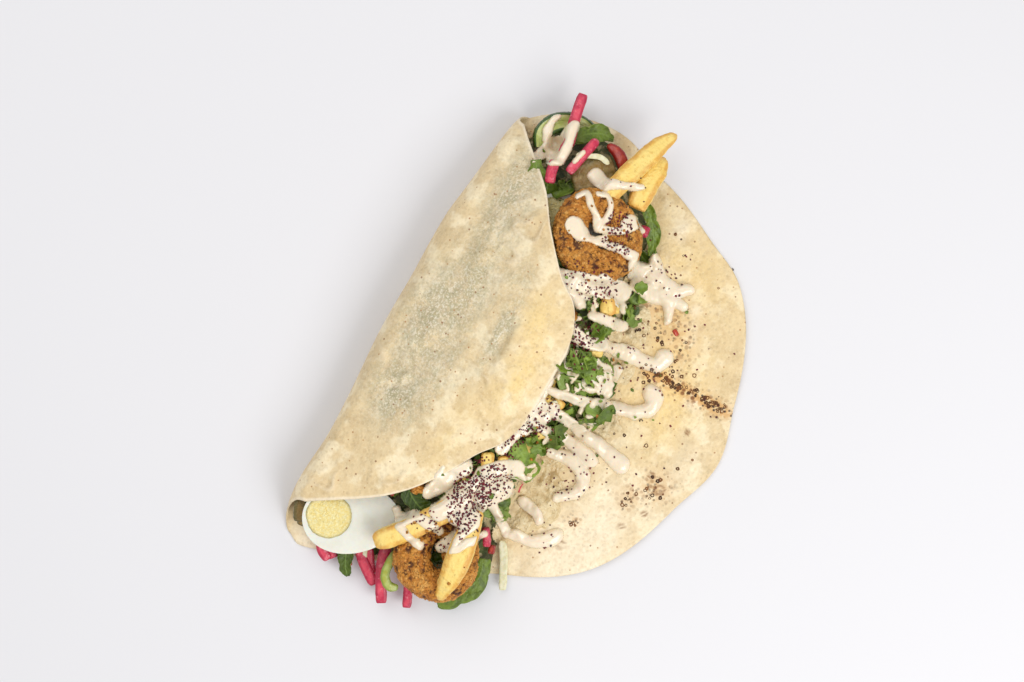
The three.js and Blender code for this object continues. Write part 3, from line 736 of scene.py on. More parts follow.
# Where the filling shows through the flap, with one row a painted shadow along the valley above the yellow
# mound; where the bread is yellow; where it is pale and dry, with one row painted light on the fold's open
# end, which lies in shade; and where it is toasted, each as x, y, radius along X, radius along Y and
# strength.
DAMP = [
    (-8, 56, 34, 17, 0.95), (20, 40, 26, 13, 0.55), (-58, 50, 17, 16, 0.95), (61, 50, 26, 12, 0.5),
    (4, 16, 22, 5, 0.95), (88, 50, 24, 13, 0.7), (-30, 34, 18, 10, 0.5), (38, 22, 14, 8, 0.3),
]
FLAP_WARM = [(-14, -6, 22, 11, 1.0), (22, 2, 16, 12, 0.8), (40, 46, 10, 7, 0.5), (-60, 12, 24, 10, 0.45)]
OPEN_WARM = [
    (30, -70, 30, 30, 0.9), (90, -60, 22, 30, 0.7), (10, -95, 30, 16, 0.6), (-90, 55, 20, 10, 0.3),
    (115, -10, 14, 30, 0.5),
]
# The first row is painted light on the fold's open end at the lower left, which lies in shade under the flap.
PALE = [
    (-160, 60, 14, 16, 1.0), (74, -78, 4, 3, 1.0), (25, -103, 4, 4, 1.0), (112, -46, 9, 5, 0.7),
    (-70, -92, 36, 20, 1.0), (-100, -80, 24, 22, 0.8), (-20, -118, 30, 10, 0.5),
]
CHARRED = [
    (29, -99, 4.5, 20, 1.0), (30, -119, 4, 12, 1.0), (28, -78, 4.5, 12, 0.8), (52, -42, 10, 12, 0.6),
    (50, -82, 12, 10, 0.4), (-30, -110, 9, 9, 0.55), (-44, -99, 8, 6, 0.4), (-72, -78, 4, 4, 0.6),
    (60, -66, 12, 14, 0.4), (64, -52, 6, 6, 0.4),
]
END_FLECKS = [(114, 58, 8, 7, 0.6)]
# Ring-shaped blisters: x, y, radius.
RINGS = [
    (-30, -113, 2.6), (-25, -104, 1.6), (-88, -78, 2.4), (-47, -112, 1.3), (-60, -104, 1.2), (8, -110, 1.2),
]
FLAP_DROOP = 0.002  # how much the flap sinks for each millimetre past the ridge, squared
CEILING_SOFTNESS = 0.7  # how softly the bread levels out under its greatest height


def lower_ends(y):
    """The two X ends of the lower layer at each Y: the circle's chord, then the folded ends' curves."""
    arc = np.sqrt(np.maximum(OPEN_RADIUS**2 - y**2, 0))
    left = np.where(y < LOWER_LEFT[0][0], -arc, through(LOWER_LEFT, y))
    right = np.where(y < LOWER_RIGHT[0][0], arc, through(LOWER_RIGHT, y))
    return left, right


def flap_height(x, y):
    """Height of the flap's middle surface: a quarter sine from the fold's height up to the ridge's, with
    lumps pushed up by the filling, and drooping by the square of the distance past the ridge."""
    start = through(FOLD_HEIGHT, x)
    rise = np.clip((FOLD_START - y) / (FOLD_START - RIDGE_Y), 0, 1)
    past = np.maximum(RIDGE_Y - y, 0)
    z = start + (through(RIDGE_HEIGHT, x) - start) * np.sin(rise * math.pi / 2) - FLAP_DROOP * past**2
    return z + hills(x, y, FLAP_LUMPS)


def bread_middle(across, lower_rows, fold_rows, flap_rows):
    """The bread's middle surface as a grid. Lower rows run up the circle by even angles, fold rows go
    round a half turn whose bulge is the fold line, and flap rows run back at even steps in Y."""
    angle = np.linspace(0.02, math.acos(-FOLD_START / OPEN_RADIUS), lower_rows)
    y = -OPEN_RADIUS * np.cos(angle)[:, None] + 0 * across
    left, right = lower_ends(y)
    x = (left + right) / 2 + (right - left) / 2 * across
    reach = np.hypot(x, y) / OPEN_RADIUS
    wobble = through(RIM_WOBBLE, np.degrees(np.arctan2(y, x))) * reach**3
    scale = np.where(y > 0, 1, 1 + wobble / OPEN_RADIUS)
    lower = np.stack([x * scale, y * scale, np.full_like(x, BREAD_THICKNESS / 2)], -1)

    share = np.linspace(0, 1, fold_rows + 2)[1:-1][:, None] + 0 * across
    blend = smooth_step(0, 1, share)
    start = np.array(FOLD_START)
    low_left, low_right = lower_ends(start)
    left = low_left + (through(FLAP_LEFT, start) - low_left) * blend
    right = low_right + (through(FLAP_RIGHT, start) - low_right) * blend
    x = (left + right) / 2 + (right - left) / 2 * across
    bulge = through(FOLD_LINE, x) - BREAD_THICKNESS / 2 - FOLD_START
    top = flap_height(x, start)
    low = BREAD_THICKNESS / 2
    z = low + (top - low) * (1 - np.cos(math.pi * share)) / 2
    fold = np.stack([x, FOLD_START + bulge * np.sin(math.pi * share), z], -1)

    y = np.linspace(FOLD_START, FLAP_TIP, flap_rows)[:, None] + 0 * across
    left, right = through(FLAP_LEFT, y), through(FLAP_RIGHT, y)
    x = (left + right) / 2 + (right - left) / 2 * across
    flap = np.stack([x, y, flap_height(x, y)], -1)
    return np.concatenate([lower, fold, flap])


def off_line(x, y, start, end):
    """Each spot's share of the way along a straight line where it is nearest, and its distance from it."""
    dx, dy = end[0] - start[0], end[1] - start[1]
    length = max(dx * dx + dy * dy, 1e-9)
    share = np.clip(((x - start[0]) * dx + (y - start[1]) * dy) / length, 0, 1)
    return share, np.hypot(x - start[0] - share * dx, y - start[1] - share * dy)


def creases(x, y, rows):
    """Sum of narrow ridges: each has a bell-shaped section across a line between two points."""
    total = 0.0
    for x1, y1, x2, y2, width, height in rows:
        t, off = off_line(x, y, (x1, y1), (x2, y2))
        total = total + height * np.sin(math.pi * np.clip(t, 0.04, 0.96)) * np.exp(-((off / width) ** 2))
    return total


def ring_marks(x, y):
    """Thin brown circles: a bell-shaped mark at each blister's own radius."""
    return sum(np.exp(-(((np.hypot(x - cx, y - cy) - r) / 0.6) ** 2)) for cx, cy, r in RINGS)


def make_bread():
    """The whole flatbread: its middle surface, dimpled and creased, thickened both ways along the normals
    and thinner towards its edges, with blisters and crumb relief on the upper side of the open half."""
    lower_rows, fold_rows, flap_rows, columns = 108, 18, 104, 186
    across = np.linspace(-1, 1, columns)[None, :]
    middle = bread_middle(across, lower_rows, fold_rows, flap_rows)
    normal = grid_normals(middle)
    normal[:lower_rows] = (0, 0, 1)
    rows = np.arange(lower_rows + fold_rows + flap_rows)[:, None] + 0 * across
    on_flap = smooth_step(lower_rows + fold_rows * 0.3, lower_rows + fold_rows, rows)
    on_open = 1 - smooth_step(lower_rows - 6, lower_rows + 4, rows)
    x, y = middle[..., 0], middle[..., 1]
    spot = flat(x, y)
    reach = np.hypot(x, y) / OPEN_RADIUS
    rim = on_open * smooth_step(0.84, 1.0, reach) * (y < -10)
    lifted = rim * (0.9 + 0.9 * np.sin(5 * np.arctan2(y, x)))
    sheet = on_flap * (hills(x, y, FLAP_DIMPLES) + creases(x, y, FLAP_CREASES))
    waves = 0.95 * rough(spot, 19, 3, 2) + 0.30 * (1 - np.abs(rough(spot, 7, 2, 5))) - 0.2
    sheet = sheet + on_flap * waves
    flaky = smooth_step(0.0, 0.5, noise(spot, 26, 41)) * np.maximum(0.28 - np.abs(noise(spot, 8, 43)), 0)
    sheet = sheet + on_flap * (6.0 * flaky + 0.5 * (0.3 - np.abs(noise(spot, 15, 47))))
    edge = np.minimum(1 - np.abs(across), (rows[-1, 0] - rows) / rows[-1, 0] * 2.2) * 60
    sheet = sheet + on_flap * 0.6 * noise(spot, 11, 9) * (1 - smooth_step(0, 7, edge))
    side_edge = np.minimum((1 - np.abs(across)) * 110, np.minimum(rows, rows[-1, 0] - rows))
    half = BREAD_THICKNESS / 2 * (0.5 + 0.5 * smooth_step(0, 5, side_edge))
    soft, ceiling = CEILING_SOFTNESS, HIGHEST - 1.2
    middle[..., 2] = -soft * np.logaddexp(-(middle[..., 2] + sheet + lifted) / soft, -ceiling / soft)
    upper = middle + normal * half[..., None]
    under = middle - normal * half[..., None]
    grain = 0.35 * rough(spot, 9, 3, 12) + 0.22 * rough(spot, 2.8, 2, 15)
    top = hills(x, y, OPEN_BLISTERS) + creases(x, y, OPEN_CREASES) + grain
    top = top + 0.5 * np.minimum(ring_marks(x, y), 1)
    upper[..., 2] += on_open * np.maximum(top, -0.5) * smooth_step(0, 6, side_edge)
    under[:lower_rows, :, 2] = np.maximum(under[:lower_rows, :, 2], 0)
    both = both_sides(upper, under)
    both[:, 1:] = np.minimum(both[:, 1:], (FARTHEST, HIGHEST))
    quads = shell_quads(*middle.shape[:2])
    warm = hills(x, y, FLAP_WARM) * on_flap + hills(x, y, OPEN_WARM) * on_open
    char = hills(x, y, CHARRED) * on_open + 0.10 + hills(x, y, END_FLECKS) * (1 - on_flap)
    flakes = 0.4 * smooth_step(0.08, 0.3, flaky)
    marks = {
        # Filling seen through the flap, and a painted shadow along the valley above the yellow mound.
        "damp": on_flap * np.clip(hills(x, y, DAMP), 0, 1) * (1 - on_open),
        "warm": np.clip(warm, 0, 1),
        # Pale dry patches, and painted light on the fold's open end.
        "pale": np.clip(hills(x, y, PALE), 0, 1) * on_open,
        "char": np.clip(char, 0, 1),
        "ring": np.clip(ring_marks(x, y), 0, 1) * on_open,
        # Painted highlight along the flap's edge, and lighter on its raised flaky ridges.
        "rim": on_flap * np.maximum(1 - smooth_step(1.0, 2.6, side_edge), flakes),
    }
    marks = {key: np.tile(values.ravel(), 2) for key, values in marks.items()}
    add_piece(
        "flatbread_fine", both, quads, BREAD, marks=marks, stands_for=["flatbread"], covers=False,
    )
    cover(both, grid_quads(lower_rows, columns))


make_bread()

# ---------- the heap ----------

CORE_SINK = 2.6  # how far the core stays below the part's heap, for the loose pieces on top
SLOPE_POWER = 2.2  # how steeply the heap's outer slope rises before it levels out


def flap_edge(x):
    """The Y of the flap's edge over each X: the lowest Y at which X lies between the flap's two ends."""
    ys = np.linspace(FLAP_TIP, FOLD_START, 90)
    inside = (x[..., None] > through(FLAP_LEFT, ys)) & (x[..., None] < through(FLAP_RIGHT, ys))
    return np.where(inside, ys, FOLD_START).min(-1)


def heap_top(x, y):
    """Height of the heap: under the flap it follows the bread, and past the flap's edge it slopes down to
    its own edge by a power of the share of the way, with hills and hollows."""
    under = BREAD_THICKNESS / 2 + 0.8
    edge = flap_edge(x)
    inside = np.clip((y - edge) / MOUTH_DEPTH, 0, 1)
    outside = through(HEAP_OUTSIDE, x)
    share = np.clip((y - outside) / (edge - outside), 0, 1)
    crest = flap_height(x, np.maximum(y, edge)) - under - MOUTH_DROP * (1 - inside) - HEAP_EDGE
    crest = crest * through(HEAP_ENDS, x)
    slope = HEAP_EDGE + crest * (1 - (1 - share) ** SLOPE_POWER)
    return slope + hills(x, y, HEAP_MOUNDS) * np.sin(math.pi / 2 * share) * (1 - inside), share, inside


def make_heap():
    """The salad core: the heap's height less a sink, rounded down at its ends and edges, with lumpy relief
    of three sizes. Its flat underside lies on the bread."""
    rows, columns = 96, 200
    u = np.linspace(0, 1, columns)[None, :]
    v = np.linspace(0, 1, rows)[:, None]
    first_x, final_x = HEAP_OUTSIDE[0][0], HEAP_OUTSIDE[-1][0]
    x = first_x + 2 + (final_x - first_x - 4) * u + 0 * v
    outside = through(HEAP_OUTSIDE, x) + 2
    y = outside + (through(HEAP_INSIDE, x) - 1.5 - outside) * v
    top, share, inside = heap_top(x, y)
    ends = np.minimum(smooth_step(0, 0.05, u), smooth_step(0, 0.05, 1 - u)) + 0 * v
    sides = smooth_step(0, 0.10, v) * smooth_step(0, 0.05, 1 - v) + 0 * u
    spot = flat(x, y)
    lumps = 1.7 * rough(spot, 8, 3, 31) + 0.8 * np.abs(noise(spot, 3.2, 35))
    top = np.maximum(top - CORE_SINK + lumps * (1 - 0.8 * inside), 4)
    base = BREAD_THICKNESS + 0.4
    top = base + (top - base) * (0.12 + 0.88 * np.sqrt(ends * sides))
    points = both_sides(np.stack([x, y, top], -1), np.stack([x, y, np.full_like(x, base - 0.2)], -1))
    pale = smooth_step(0.55, 0.25, 1 - np.clip(1.15 - share * 1.6, 0, 1)) * (x > -95) * (x < 70)
    # Painted shade: darker in the heap's hollows and under the flap's edge.
    pit = np.clip(0.5 - 0.5 * rough(spot, 8, 3, 31), 0, 1) + smooth_step(0.0, 0.8, inside)
    marks = {"pale": np.tile(pale.ravel(), 2), "pit": np.tile(np.clip(pit, 0, 1).ravel(), 2)}
    add_piece(
        "salad_heap_core", points, shell_quads(rows, columns), SALAD, marks=marks,
        stands_for=["salad_heap"], covers=False,
    )
    cover(points, grid_quads(rows, columns))


make_heap()
heap_ground = ground.copy()

# ---------- falafel ----------

FALAFEL_SIZE = {"long": 28.5, "wide": 26, "hole_long": 8.5, "hole_wide": 2.6, "half": 9.2}


def make_falafel(node, lumps, place, turns, seed):
    """A doughnut-shaped falafel: a torus stretched to oval inner and outer outlines, its section swollen by
    a slow wave, and its skin broken up by crumbs of three sizes along the normals."""
    rows, columns = 300, 160
    around = round_turn(rows)[:, None]
    section = round_turn(columns)[None, :]
    s = FALAFEL_SIZE
    middle = ((s["long"] + s["hole_long"]) / 2, (s["wide"] + s["hole_wide"]) / 2)
    half = ((s["long"] - s["hole_long"]) / 2 - 0.7, (s["wide"] - s["hole_wide"]) / 2 - 0.7)
    cosine = np.cos(section)
    reach = signed_power(cosine, 0.85) * (1 + lumps * np.cos(3 * around + 1) * cosine)
    x = np.cos(around) * (middle[0] + half[0] * reach)
    y = np.sin(around) * (middle[1] + half[1] * reach)
    z = signed_power(np.sin(section), 0.85) * (s["half"] - 0.6) + 0 * around
    body = np.stack([x, y, z], -1)
    normal = grid_normals(body)
    crumbs = 0.7 * rough(body, 4.2, 2, seed) + 1.0 * np.abs(noise(body, 2.0, seed + 5)) - 0.42
    crumbs = crumbs + 0.6 * np.abs(noise(body, 1.1, seed + 9)) - 0.15
    body = body + np.sign(normal[0, 0, 0]) * normal * np.clip(crumbs, -1.2, 0.75)[..., None]
    points = turned(body.reshape(-1, 3), place, turns)
    quads = grid_quads(rows, columns, True, True)
    # Painted light on the raised crumbs and painted shade in the crevices between them.
    marks = {"peak": smooth_step(0.2, 0.7, crumbs), "pit": 1 - smooth_step(-0.75, -0.2, crumbs)}
    add_piece(node + "_fine", points, quads, FALAFEL, marks=marks, stands_for=[node])


make_falafel("falafel_upper", 0.05, (80, -4, 36.4), (7, -4, 61), 41)
make_falafel("falafel_lower", 0.07, (-127, -16, 25), (5, 4, 30), 52)

# ---------- eggs ----------

EGG = {"length": 57, "width": 42, "depth": 18, "blunt": 0.1}
YOLK = {"radius": 13.6, "x": -13, "y": 1.5, "proud": 0.4}


def egg_outline(a):
    """The cut face's outline: an ellipse, narrower towards its pointed end."""
    x = np.cos(a) * EGG["length"] / 2
    y = np.sin(a) * EGG["width"] / 2 * (1 - EGG["blunt"] * np.cos(a))
    return x, y


def make_egg(name, place, turns, seed):
    """Half an egg. The white is rings up an ellipsoid bowl, over a softly rounded rim, in across the cut
    face to the yolk's circle and down into its hollow. The yolk is rings from its crumbly face down round
    a half ball."""
    a = round_turn(120)[None, :]
    outline_x, outline_y = egg_outline(a)
    rise = np.linspace(0.06, math.pi / 2, 30)[:, None]
    bowl = np.stack([
        outline_x * np.sin(rise), outline_y * np.sin(rise), -np.cos(rise) * EGG["depth"] + 0 * a - 0.3,
    ], -1)
    t = np.linspace(0.015, 1, 20)[:, None]
    ripple = 1 + 0.02 * noise(flat(np.cos(a) * 3, np.sin(a) * 3), 1.0, seed)
    yolk_x = YOLK["x"] + YOLK["radius"] * ripple * np.cos(a)
    yolk_y = YOLK["y"] + YOLK["radius"] * ripple * np.sin(a)
    face_x = outline_x * (1 - t) + yolk_x * t
    face_y = outline_y * (1 - t) + yolk_y * t
    face_z = 0.12 * rough(flat(face_x, face_y), 7, 2, seed) - 0.3 * (1 - smooth_step(0, 0.1, t)) + 0 * a
    face = np.stack([face_x, face_y, face_z], -1)
    sink = np.array([1.0, 2.5, 4.5])[:, None]
    narrower = 1 - sink * 0.08
    hollow = np.stack([
        YOLK["x"] + (yolk_x - YOLK["x"]) * narrower,
        YOLK["y"] + (yolk_y - YOLK["y"]) * narrower,
        -sink + 0 * a,
    ], -1)
    points, quads, fans = ringed(np.concatenate([bowl, face, hollow]))
    points = turned(points, place, turns)
    add_piece(name + "_white_fine", points, quads, EGG_WHITE, fans, {}, [name + "_white"])
    share = np.linspace(0.03, 1, 44)[:, None]
    flat_x = YOLK["x"] + (yolk_x - YOLK["x"]) * share * 0.985
    flat_y = YOLK["y"] + (yolk_y - YOLK["y"]) * share * 0.985
    spot = flat(flat_x, flat_y)
    crumbs = 0.35 * rough(spot, 3.0, 3, seed + 3) + 0.55 * np.abs(noise(spot, 1.2, seed + 6)) - 0.2
    top = YOLK["proud"] - 0.1 + crumbs * 0.9 - 0.6 * smooth_step(0.93, 1.0, share)
    disc = np.stack([flat_x, flat_y, np.minimum(top, YOLK["proud"] + 0.5)], -1)
    down = np.linspace(0.15, 1.3, 8)[:, None]
    ball = np.stack([
        YOLK["x"] + (yolk_x - YOLK["x"]) * np.cos(down) * 0.97,
        YOLK["y"] + (yolk_y - YOLK["y"]) * np.cos(down) * 0.97, -YOLK["radius"] * np.sin(down) + 0 * a,
    ], -1)
    points, quads, fans = ringed(np.concatenate([disc, ball]))
    points = turned(points, place, turns)
    edge = smooth_step(0.86, 1.0, share + 0 * a).ravel()
    marks = {"edge": np.concatenate([edge, np.ones(ball[..., 0].size), [0, 1]])}
    add_piece(name + "_yolk_fine", points, quads, EGG_YOLK, fans, marks, [name + "_yolk"])


make_egg("egg_low", (-133.5, 38, 27.5), (4, 3, -60), 61)
make_egg("egg_top", (73, 10, 26.5), (0, 0, -100), 66)

# ---------- sticks: fries, turnip, pickle and strips ----------


STICK_INSET = 0.3  # how much narrower a finished stick is than its solid, for its uneven skin


def stick_rings(
    path, width, thick, ends, body, seed, rows=54, columns=32, power=4.0, skin=0.25, blunt=False,
):
    """Rings along a smooth path. A section is a rounded square, narrowed at each end by the root of the
    distance from it, its skin uneven by noise. The last rings turn in to close the ends, at once when
    blunt."""
    inner = np.linspace(0, 1, rows)
    closing = [0.4, 0.93, 1.0] if blunt else [0.35, 0.72, 0.93]
    past = [0.3, 0.25, 0.1] if blunt else [0.9, 0.7, 0.35]
    along = np.concatenate([[0, 0, 0], inner, [1, 1, 1]])
    shrink = np.concatenate([closing, np.ones(rows), closing[::-1]])
    centre, tangent, side, normal = frames(path, along)
    full = np.minimum(
        ends[0] + (1 - ends[0]) * np.sqrt(np.minimum(along / body, 1)),
        ends[1] + (1 - ends[1]) * np.sqrt(np.minimum((1 - along) / body, 1)),
    ) * shrink
    a = round_turn(columns)[None, :]
    square = (np.abs(np.cos(a)) ** power + np.abs(np.sin(a)) ** power) ** (-1 / power)
    across = (np.cos(a) * square * width / 2 * full[:, None])[..., None] * side[:, None]
    up = (np.sin(a) * square * thick / 2 * full[:, None])[..., None] * normal[:, None]
    bulge = np.concatenate([past, np.zeros(rows), [-step for step in past[::-1]]])
    rings = centre[:, None] + across + up - (bulge[:, None] * tangent)[:, None] * min(width, thick) * 0.06
    uneven = skin * (rough(rings, 5, 2, seed) + 0.4 * noise(rings, 1.6, seed + 3)) - skin * 0.6
    rings = rings + unit(across + up) * (uneven * shrink[:, None])[..., None]
    corner = smooth_step(1.08, 1.17, square) + 0 * full[:, None]
    tip = 1 - smooth_step(0.0, 0.08, np.minimum(along, 1 - along))[:, None] + 0 * a
    return rings, corner, tip


def make_stick(node, material, slot, path, width, thick, ends, body, seed, **shape):
    """One stick that stands for a node of the part; its corners and tips are marked as edges."""
    width, thick = width - STICK_INSET, thick - STICK_INSET
    rings, corner, tip = stick_rings(path, width, thick, ends, body, seed, **shape)
    points, quads, fans = ringed(rings)
    edge = np.maximum(corner, tip)
    rib = 0.5 + 0.5 * np.sin(np.arange(rings.shape[1])[None, :] * 1.6) + 0 * edge
    marks = {
        "edge": np.concatenate([edge.ravel(), [1, 1]]),
        "rib": np.concatenate([rib.ravel(), [0, 0]]),
        "cut": np.concatenate([(1 - edge).ravel(), [0, 0]]),
    }
    add_piece(node + "_fine", points, quads, material, fans, marks, [node])


# Each as node, path, width, thickness, share of the width at both ends, and share of the length that narrows.
FRIES = [
    ("fry_top_long", [(155, -14.5, 27), (146, -10, 30), (130, -5, 34), (113, 0, 37), (99, 3, 38)],
     13.4, 9, (0.2, 0.75), 0.32),
    ("fry_top_side", [(140, -15.2, 25.5), (130, -14.6, 28), (117, -14.4, 30.5), (106, -15.6, 31.5)],
     14.4, 8, (0.22, 0.75), 0.25),
    ("fry_low_left", [(-137, 19, 36), (-124, 8, 37), (-111, -1, 37.5), (-98, -9, 37.5), (-86, -15, 37)],
     13.5, 11, (0.6, 0.7), 0.12),
    ("fry_low_right",
     [(-148, -29.5, 32), (-134, -29, 38.5), (-121, -27.5, 42), (-106, -25, 42), (-92, -22.5, 40)],
     15.5, 11, (0.15, 0.6), 0.4),
    ("fry_stub_one", [(-60, -11.5, 36), (-65, -14.5, 36), (-71, -18.5, 34.5)], 8.5, 8, (0.8, 0.8), 0.12),
    ("fry_stub_two", [(-57.5, -20.5, 35), (-61, -23, 34), (-66, -26.5, 32)], 7, 7, (0.8, 0.8), 0.12),
]
for number, (node, path, width, thick, ends, body) in enumerate(FRIES):
    make_stick(node, FRY, "fry", path, width, thick, ends, body, 70 + number, skin=0.4)

# Each as node, path, width and share of the width at both ends.
TURNIPS = [
    ("turnip_top_long",
     [(149, 44.5, 21.5), (141, 43, 22.5), (132, 41, 24.5), (120, 37.5, 27.5), (112, 38, 29)], 7, (0.8, 0.6)),
    ("turnip_top_second", [(129, 24, 30), (121, 25.5, 32), (113, 27, 33), (104, 29, 33)], 6, (0.4, 0.7)),
    ("turnip_top_third", [(106, 39, 33.5), (99, 37.5, 33), (93.5, 35.5, 32)], 6.8, (0.8, 0.7)),
    ("turnip_low_tip", [(-150, 45, 7), (-157, 42, 6.5), (-162, 36, 6)], 8, (0.8, 0.6)),
    ("turnip_low_bent", [(-146, 27, 8), (-152, 22.5, 8), (-158, 15, 7.5), (-163.5, 7, 7)], 7, (0.7, 0.6)),
    ("turnip_low_long", [(-139, 12, 12.5), (-149, 9.5, 12), (-160, 4, 11.5), (-170, -2, 10)], 7, (0.8, 0.85)),
    ("turnip_low_last", [(-146, -6, 8), (-155, -11.5, 8), (-165.5, -16.5, 7.5)], 6, (0.8, 0.8)),
]
for number, (node, path, width, ends) in enumerate(TURNIPS):
    shape = {"power": 6.0, "skin": 0.15, "blunt": True}
    make_stick(node, TURNIP, "turnip", path, width, 6, ends, 0.1, 80 + number, **shape)


def make_shreds(name, material, rows):
    """Further loose sticks of one kind merged into one piece, each as path, width, thickness and ends."""
    parts = []
    shape = {"rows": 30, "columns": 24, "power": 6.0, "skin": 0.2, "blunt": True}
    for number, (path, width, thick, ends) in enumerate(rows):
        rings, corner, tip = stick_rings(path, width, thick, ends, 0.12, 400 + number, **shape)
        edge = np.concatenate([np.maximum(corner, tip).ravel(), [1, 1]])
        parts.append((*ringed(rings), {"edge": edge, "cut": 1 - edge, "rib": 0.5 * edge}))
    add_joined(name, parts, material, True)


make_shreds("turnip_shreds", TURNIP, [
    ([(-143, 24, 9), (-149, 19, 8), (-154, 15.5, 7), (-159, 11, 5.5)], 6, 5, (0.8, 0.6)),
    ([(-155, 48, 9), (-161, 44, 8.5), (-164, 38, 7.5)], 6.5, 4.5, (0.7, 0.6)),
    ([(-100, -33, 20), (-105, -37, 18.5), (-109, -39, 17)], 5, 4.5, (0.8, 0.8)),
])
make_shreds("onion_shreds", CABBAGE, [
    ([(-146, 22.5, 11), (-152, 20, 9.5), (-158, 15.5, 8)], 3, 2.2, (0.6, 0.5)),
    ([(115, 30, 33.5), (118, 24, 33.5), (121, 17, 33), (120, 11, 33)], 3.5, 1.6, (0.4, 0.4)),
])
make_shreds("pickle_shreds", PICKLE, [
    ([(-137, 69.5, 19), (-142, 68, 19), (-147, 66, 17.5), (-151, 64, 16)], 8, 6, (0.8, 0.8)),
])
# Each as node, material, slot, path, width, thickness, ends, share that narrows, seed and further shape.
STRIPS = [
    ("pickle_slice", PICKLE, "pickle", [(101, 24, 27), (107, 18, 28), (114, 12, 27.5), (120, 7, 25)],
     24, 8, (0.6, 0.6), 0.3, 91, {"skin": 0.5, "columns": 48}),
    ("tomato_wedge", TOMATO, "tomato", [(131, 17, 21), (129, 9, 21.5), (124, 3, 22), (117, 1, 22)],
     8, 9, (0.3, 0.4), 0.4, 92, {}),
    ("pepper_strip", PEPPER, "pepper",
     [(-137, 5, 22), (-146, 5.5, 22), (-154, 4, 20.5), (-158, -1, 19.5), (-156.5, -6, 18.5)],
     6, 4, (0.6, 0.5), 0.12, 93, {"skin": 0.2}),
    ("pickle_strip", PICKLE, "pickle", [(-140, 62, 9), (-147, 63.5, 6.5), (-155, 63, 5)],
     6, 5, (0.7, 0.7), 0.12, 94, {}),
    ("cabbage_strip", CABBAGE, "cabbage",
     [(-103, -46, 7), (-110, -51, 5), (-119, -56, 4.8), (-128.5, -61, 4.8)],
     5.5, 3, (0.5, 0.7), 0.12, 95, {"skin": 0.2}),
]
for *strip, shape in STRIPS:
    make_stick(*strip, **shape)

# ---------- chunks ----------


CHUNK_SHARE = 0.86  # a finished chunk's size as a share of its solid's, for its bulging sides


def make_chunk(node, material, size, place, turns, seed):
    """One chunk that stands for a node of the part: a ball whose coordinates are raised to a power under
    one, so that it squares up, pushed in and out by noise. Its corners are marked as edges."""
    ball = ball_grid(22, 30, 0.12)
    uneven = 0.97 + 0.09 * noise(ball * 3, 2.0, seed) + 0.04 * noise(ball * 3, 0.8, seed + 2)
    rings = signed_power(ball, 0.45) * uneven[..., None] * np.asarray(size) / 2 * CHUNK_SHARE
    points, quads, fans = ringed(rings)
    reach = np.abs(points) / (np.asarray(size) / 2 * CHUNK_SHARE)
    edge = smooth_step(1.35, 1.75, reach.sum(1) - reach.min(1) * 0.5)
    points = turned(points, place, turns)
    add_piece(node + "_fine", points, quads, material, fans, {"edge": edge, "cut": 1 - edge}, [node])


# Each as node, material, slot, size, place and turns about X, Y and Z.
CHUNKS = [
    ("tomato_low", TOMATO, "tomato", (9, 9, 6), (-160, 29, 7), (0, 0, 40)),
    ("tomato_side", TOMATO, "tomato", (6.5, 5, 4.5), (-110, -43, 11), (0, 0, 20)),
    ("potato_chunk_mid", FRY, "fry", (13, 10, 9), (48, -30, 27), (10, 0, 35)),
    ("potato_chunk_low", FRY, "fry", (14, 10, 9), (-33, -33, 24), (0, 8, 60)),
    ("potato_chunk_inner", FRY, "fry", (9, 7, 8), (22, -35, 27), (0, 0, 15)),
    ("potato_chunk_edge", FRY, "fry", (10, 7, 8), (-15, -33, 32), (0, 0, 75)),
    ("turnip_side", TURNIP, "turnip", (8, 7, 6), (98, -27, 15), (0, 0, 10)),
]
for number, (node, material, slot, size, place, turns) in enumerate(CHUNKS):
    make_chunk(node, material, size, place, turns, 100 + number)

# ---------- leaves and thin slices ----------


def leaf_grid(path, width, cup, wave, tips, rows, columns, frill, seed):
    """The middle surface of a leaf along its midrib: its half width swells as a power of a sine between
    the two tip shares, its edge is scalloped, it is cupped across, and its edge waves up and down."""
    along = np.linspace(0, 1, rows)
    across = np.linspace(-1, 1, columns)[None, :]
    centre, _, side, normal = frames(path, along)
    tip = tips[0] + (tips[1] - tips[0]) * along
    spread = tip + (1 - tip) * np.maximum(np.sin(math.pi * along), 0) ** 0.7
    lobe = np.abs(np.sin(along * 6.5 + seed)) ** 0.7 + 0.12 * np.abs(np.sin(along * 21 + 2 * seed))
    scallop = 1 - frill * (1.12 - lobe)[:, None] * np.abs(across) ** 2
    half = width / 2 * spread[:, None] * scallop
    a = along[:, None]
    lift = cup * across**2 * spread[:, None] + wave * np.sin(9 * a + 2 * across + seed) * np.abs(across)
    lift = lift + 0.6 * wave * np.sin(23 * a + 4 * across) * np.abs(across) ** 2
    lift = lift + 0.4 * frill * np.abs(across) * np.cos((a * 7 - np.abs(across) * 1.4) * TURN)
    veins = np.exp(-((across / 0.05) ** 2)) + 0 * a
    branches = np.maximum(np.cos((a * 7 - np.abs(across) * 1.4) * TURN), 0) ** 6 * (1 - np.abs(across) * 0.6)
    vein = np.clip(veins + 0.45 * branches, 0, 1)
    middle = centre[:, None] - side[:, None] * (across * half)[..., None]
    middle = middle + normal[:, None] * (lift + 0.25 * vein)[..., None]
    return middle, vein


LEAF_THICKNESS = 0.56
CUCUMBER_THICKNESS = 3.4


def make_leaf(node, path, width, cup, wave, tips, tone, frill, seed):
    """One leaf that stands for a node of the part, with its tone, its veins and its back marked."""
    middle, vein = leaf_grid(path, width - 0.4, cup, wave + 0.15, tips, 60, 33, frill, seed)
    points, quads = shell(middle, -grid_normals(middle), LEAF_THICKNESS / 2)
    marks = {
        "tone": np.full(2 * vein.size, tone),
        "vein": np.tile(vein.ravel(), 2),
        "back": np.repeat([0.0, 1.0], vein.size),
    }
    add_piece(node + "_fine", points, quads, LEAF, marks=marks, stands_for=[node])


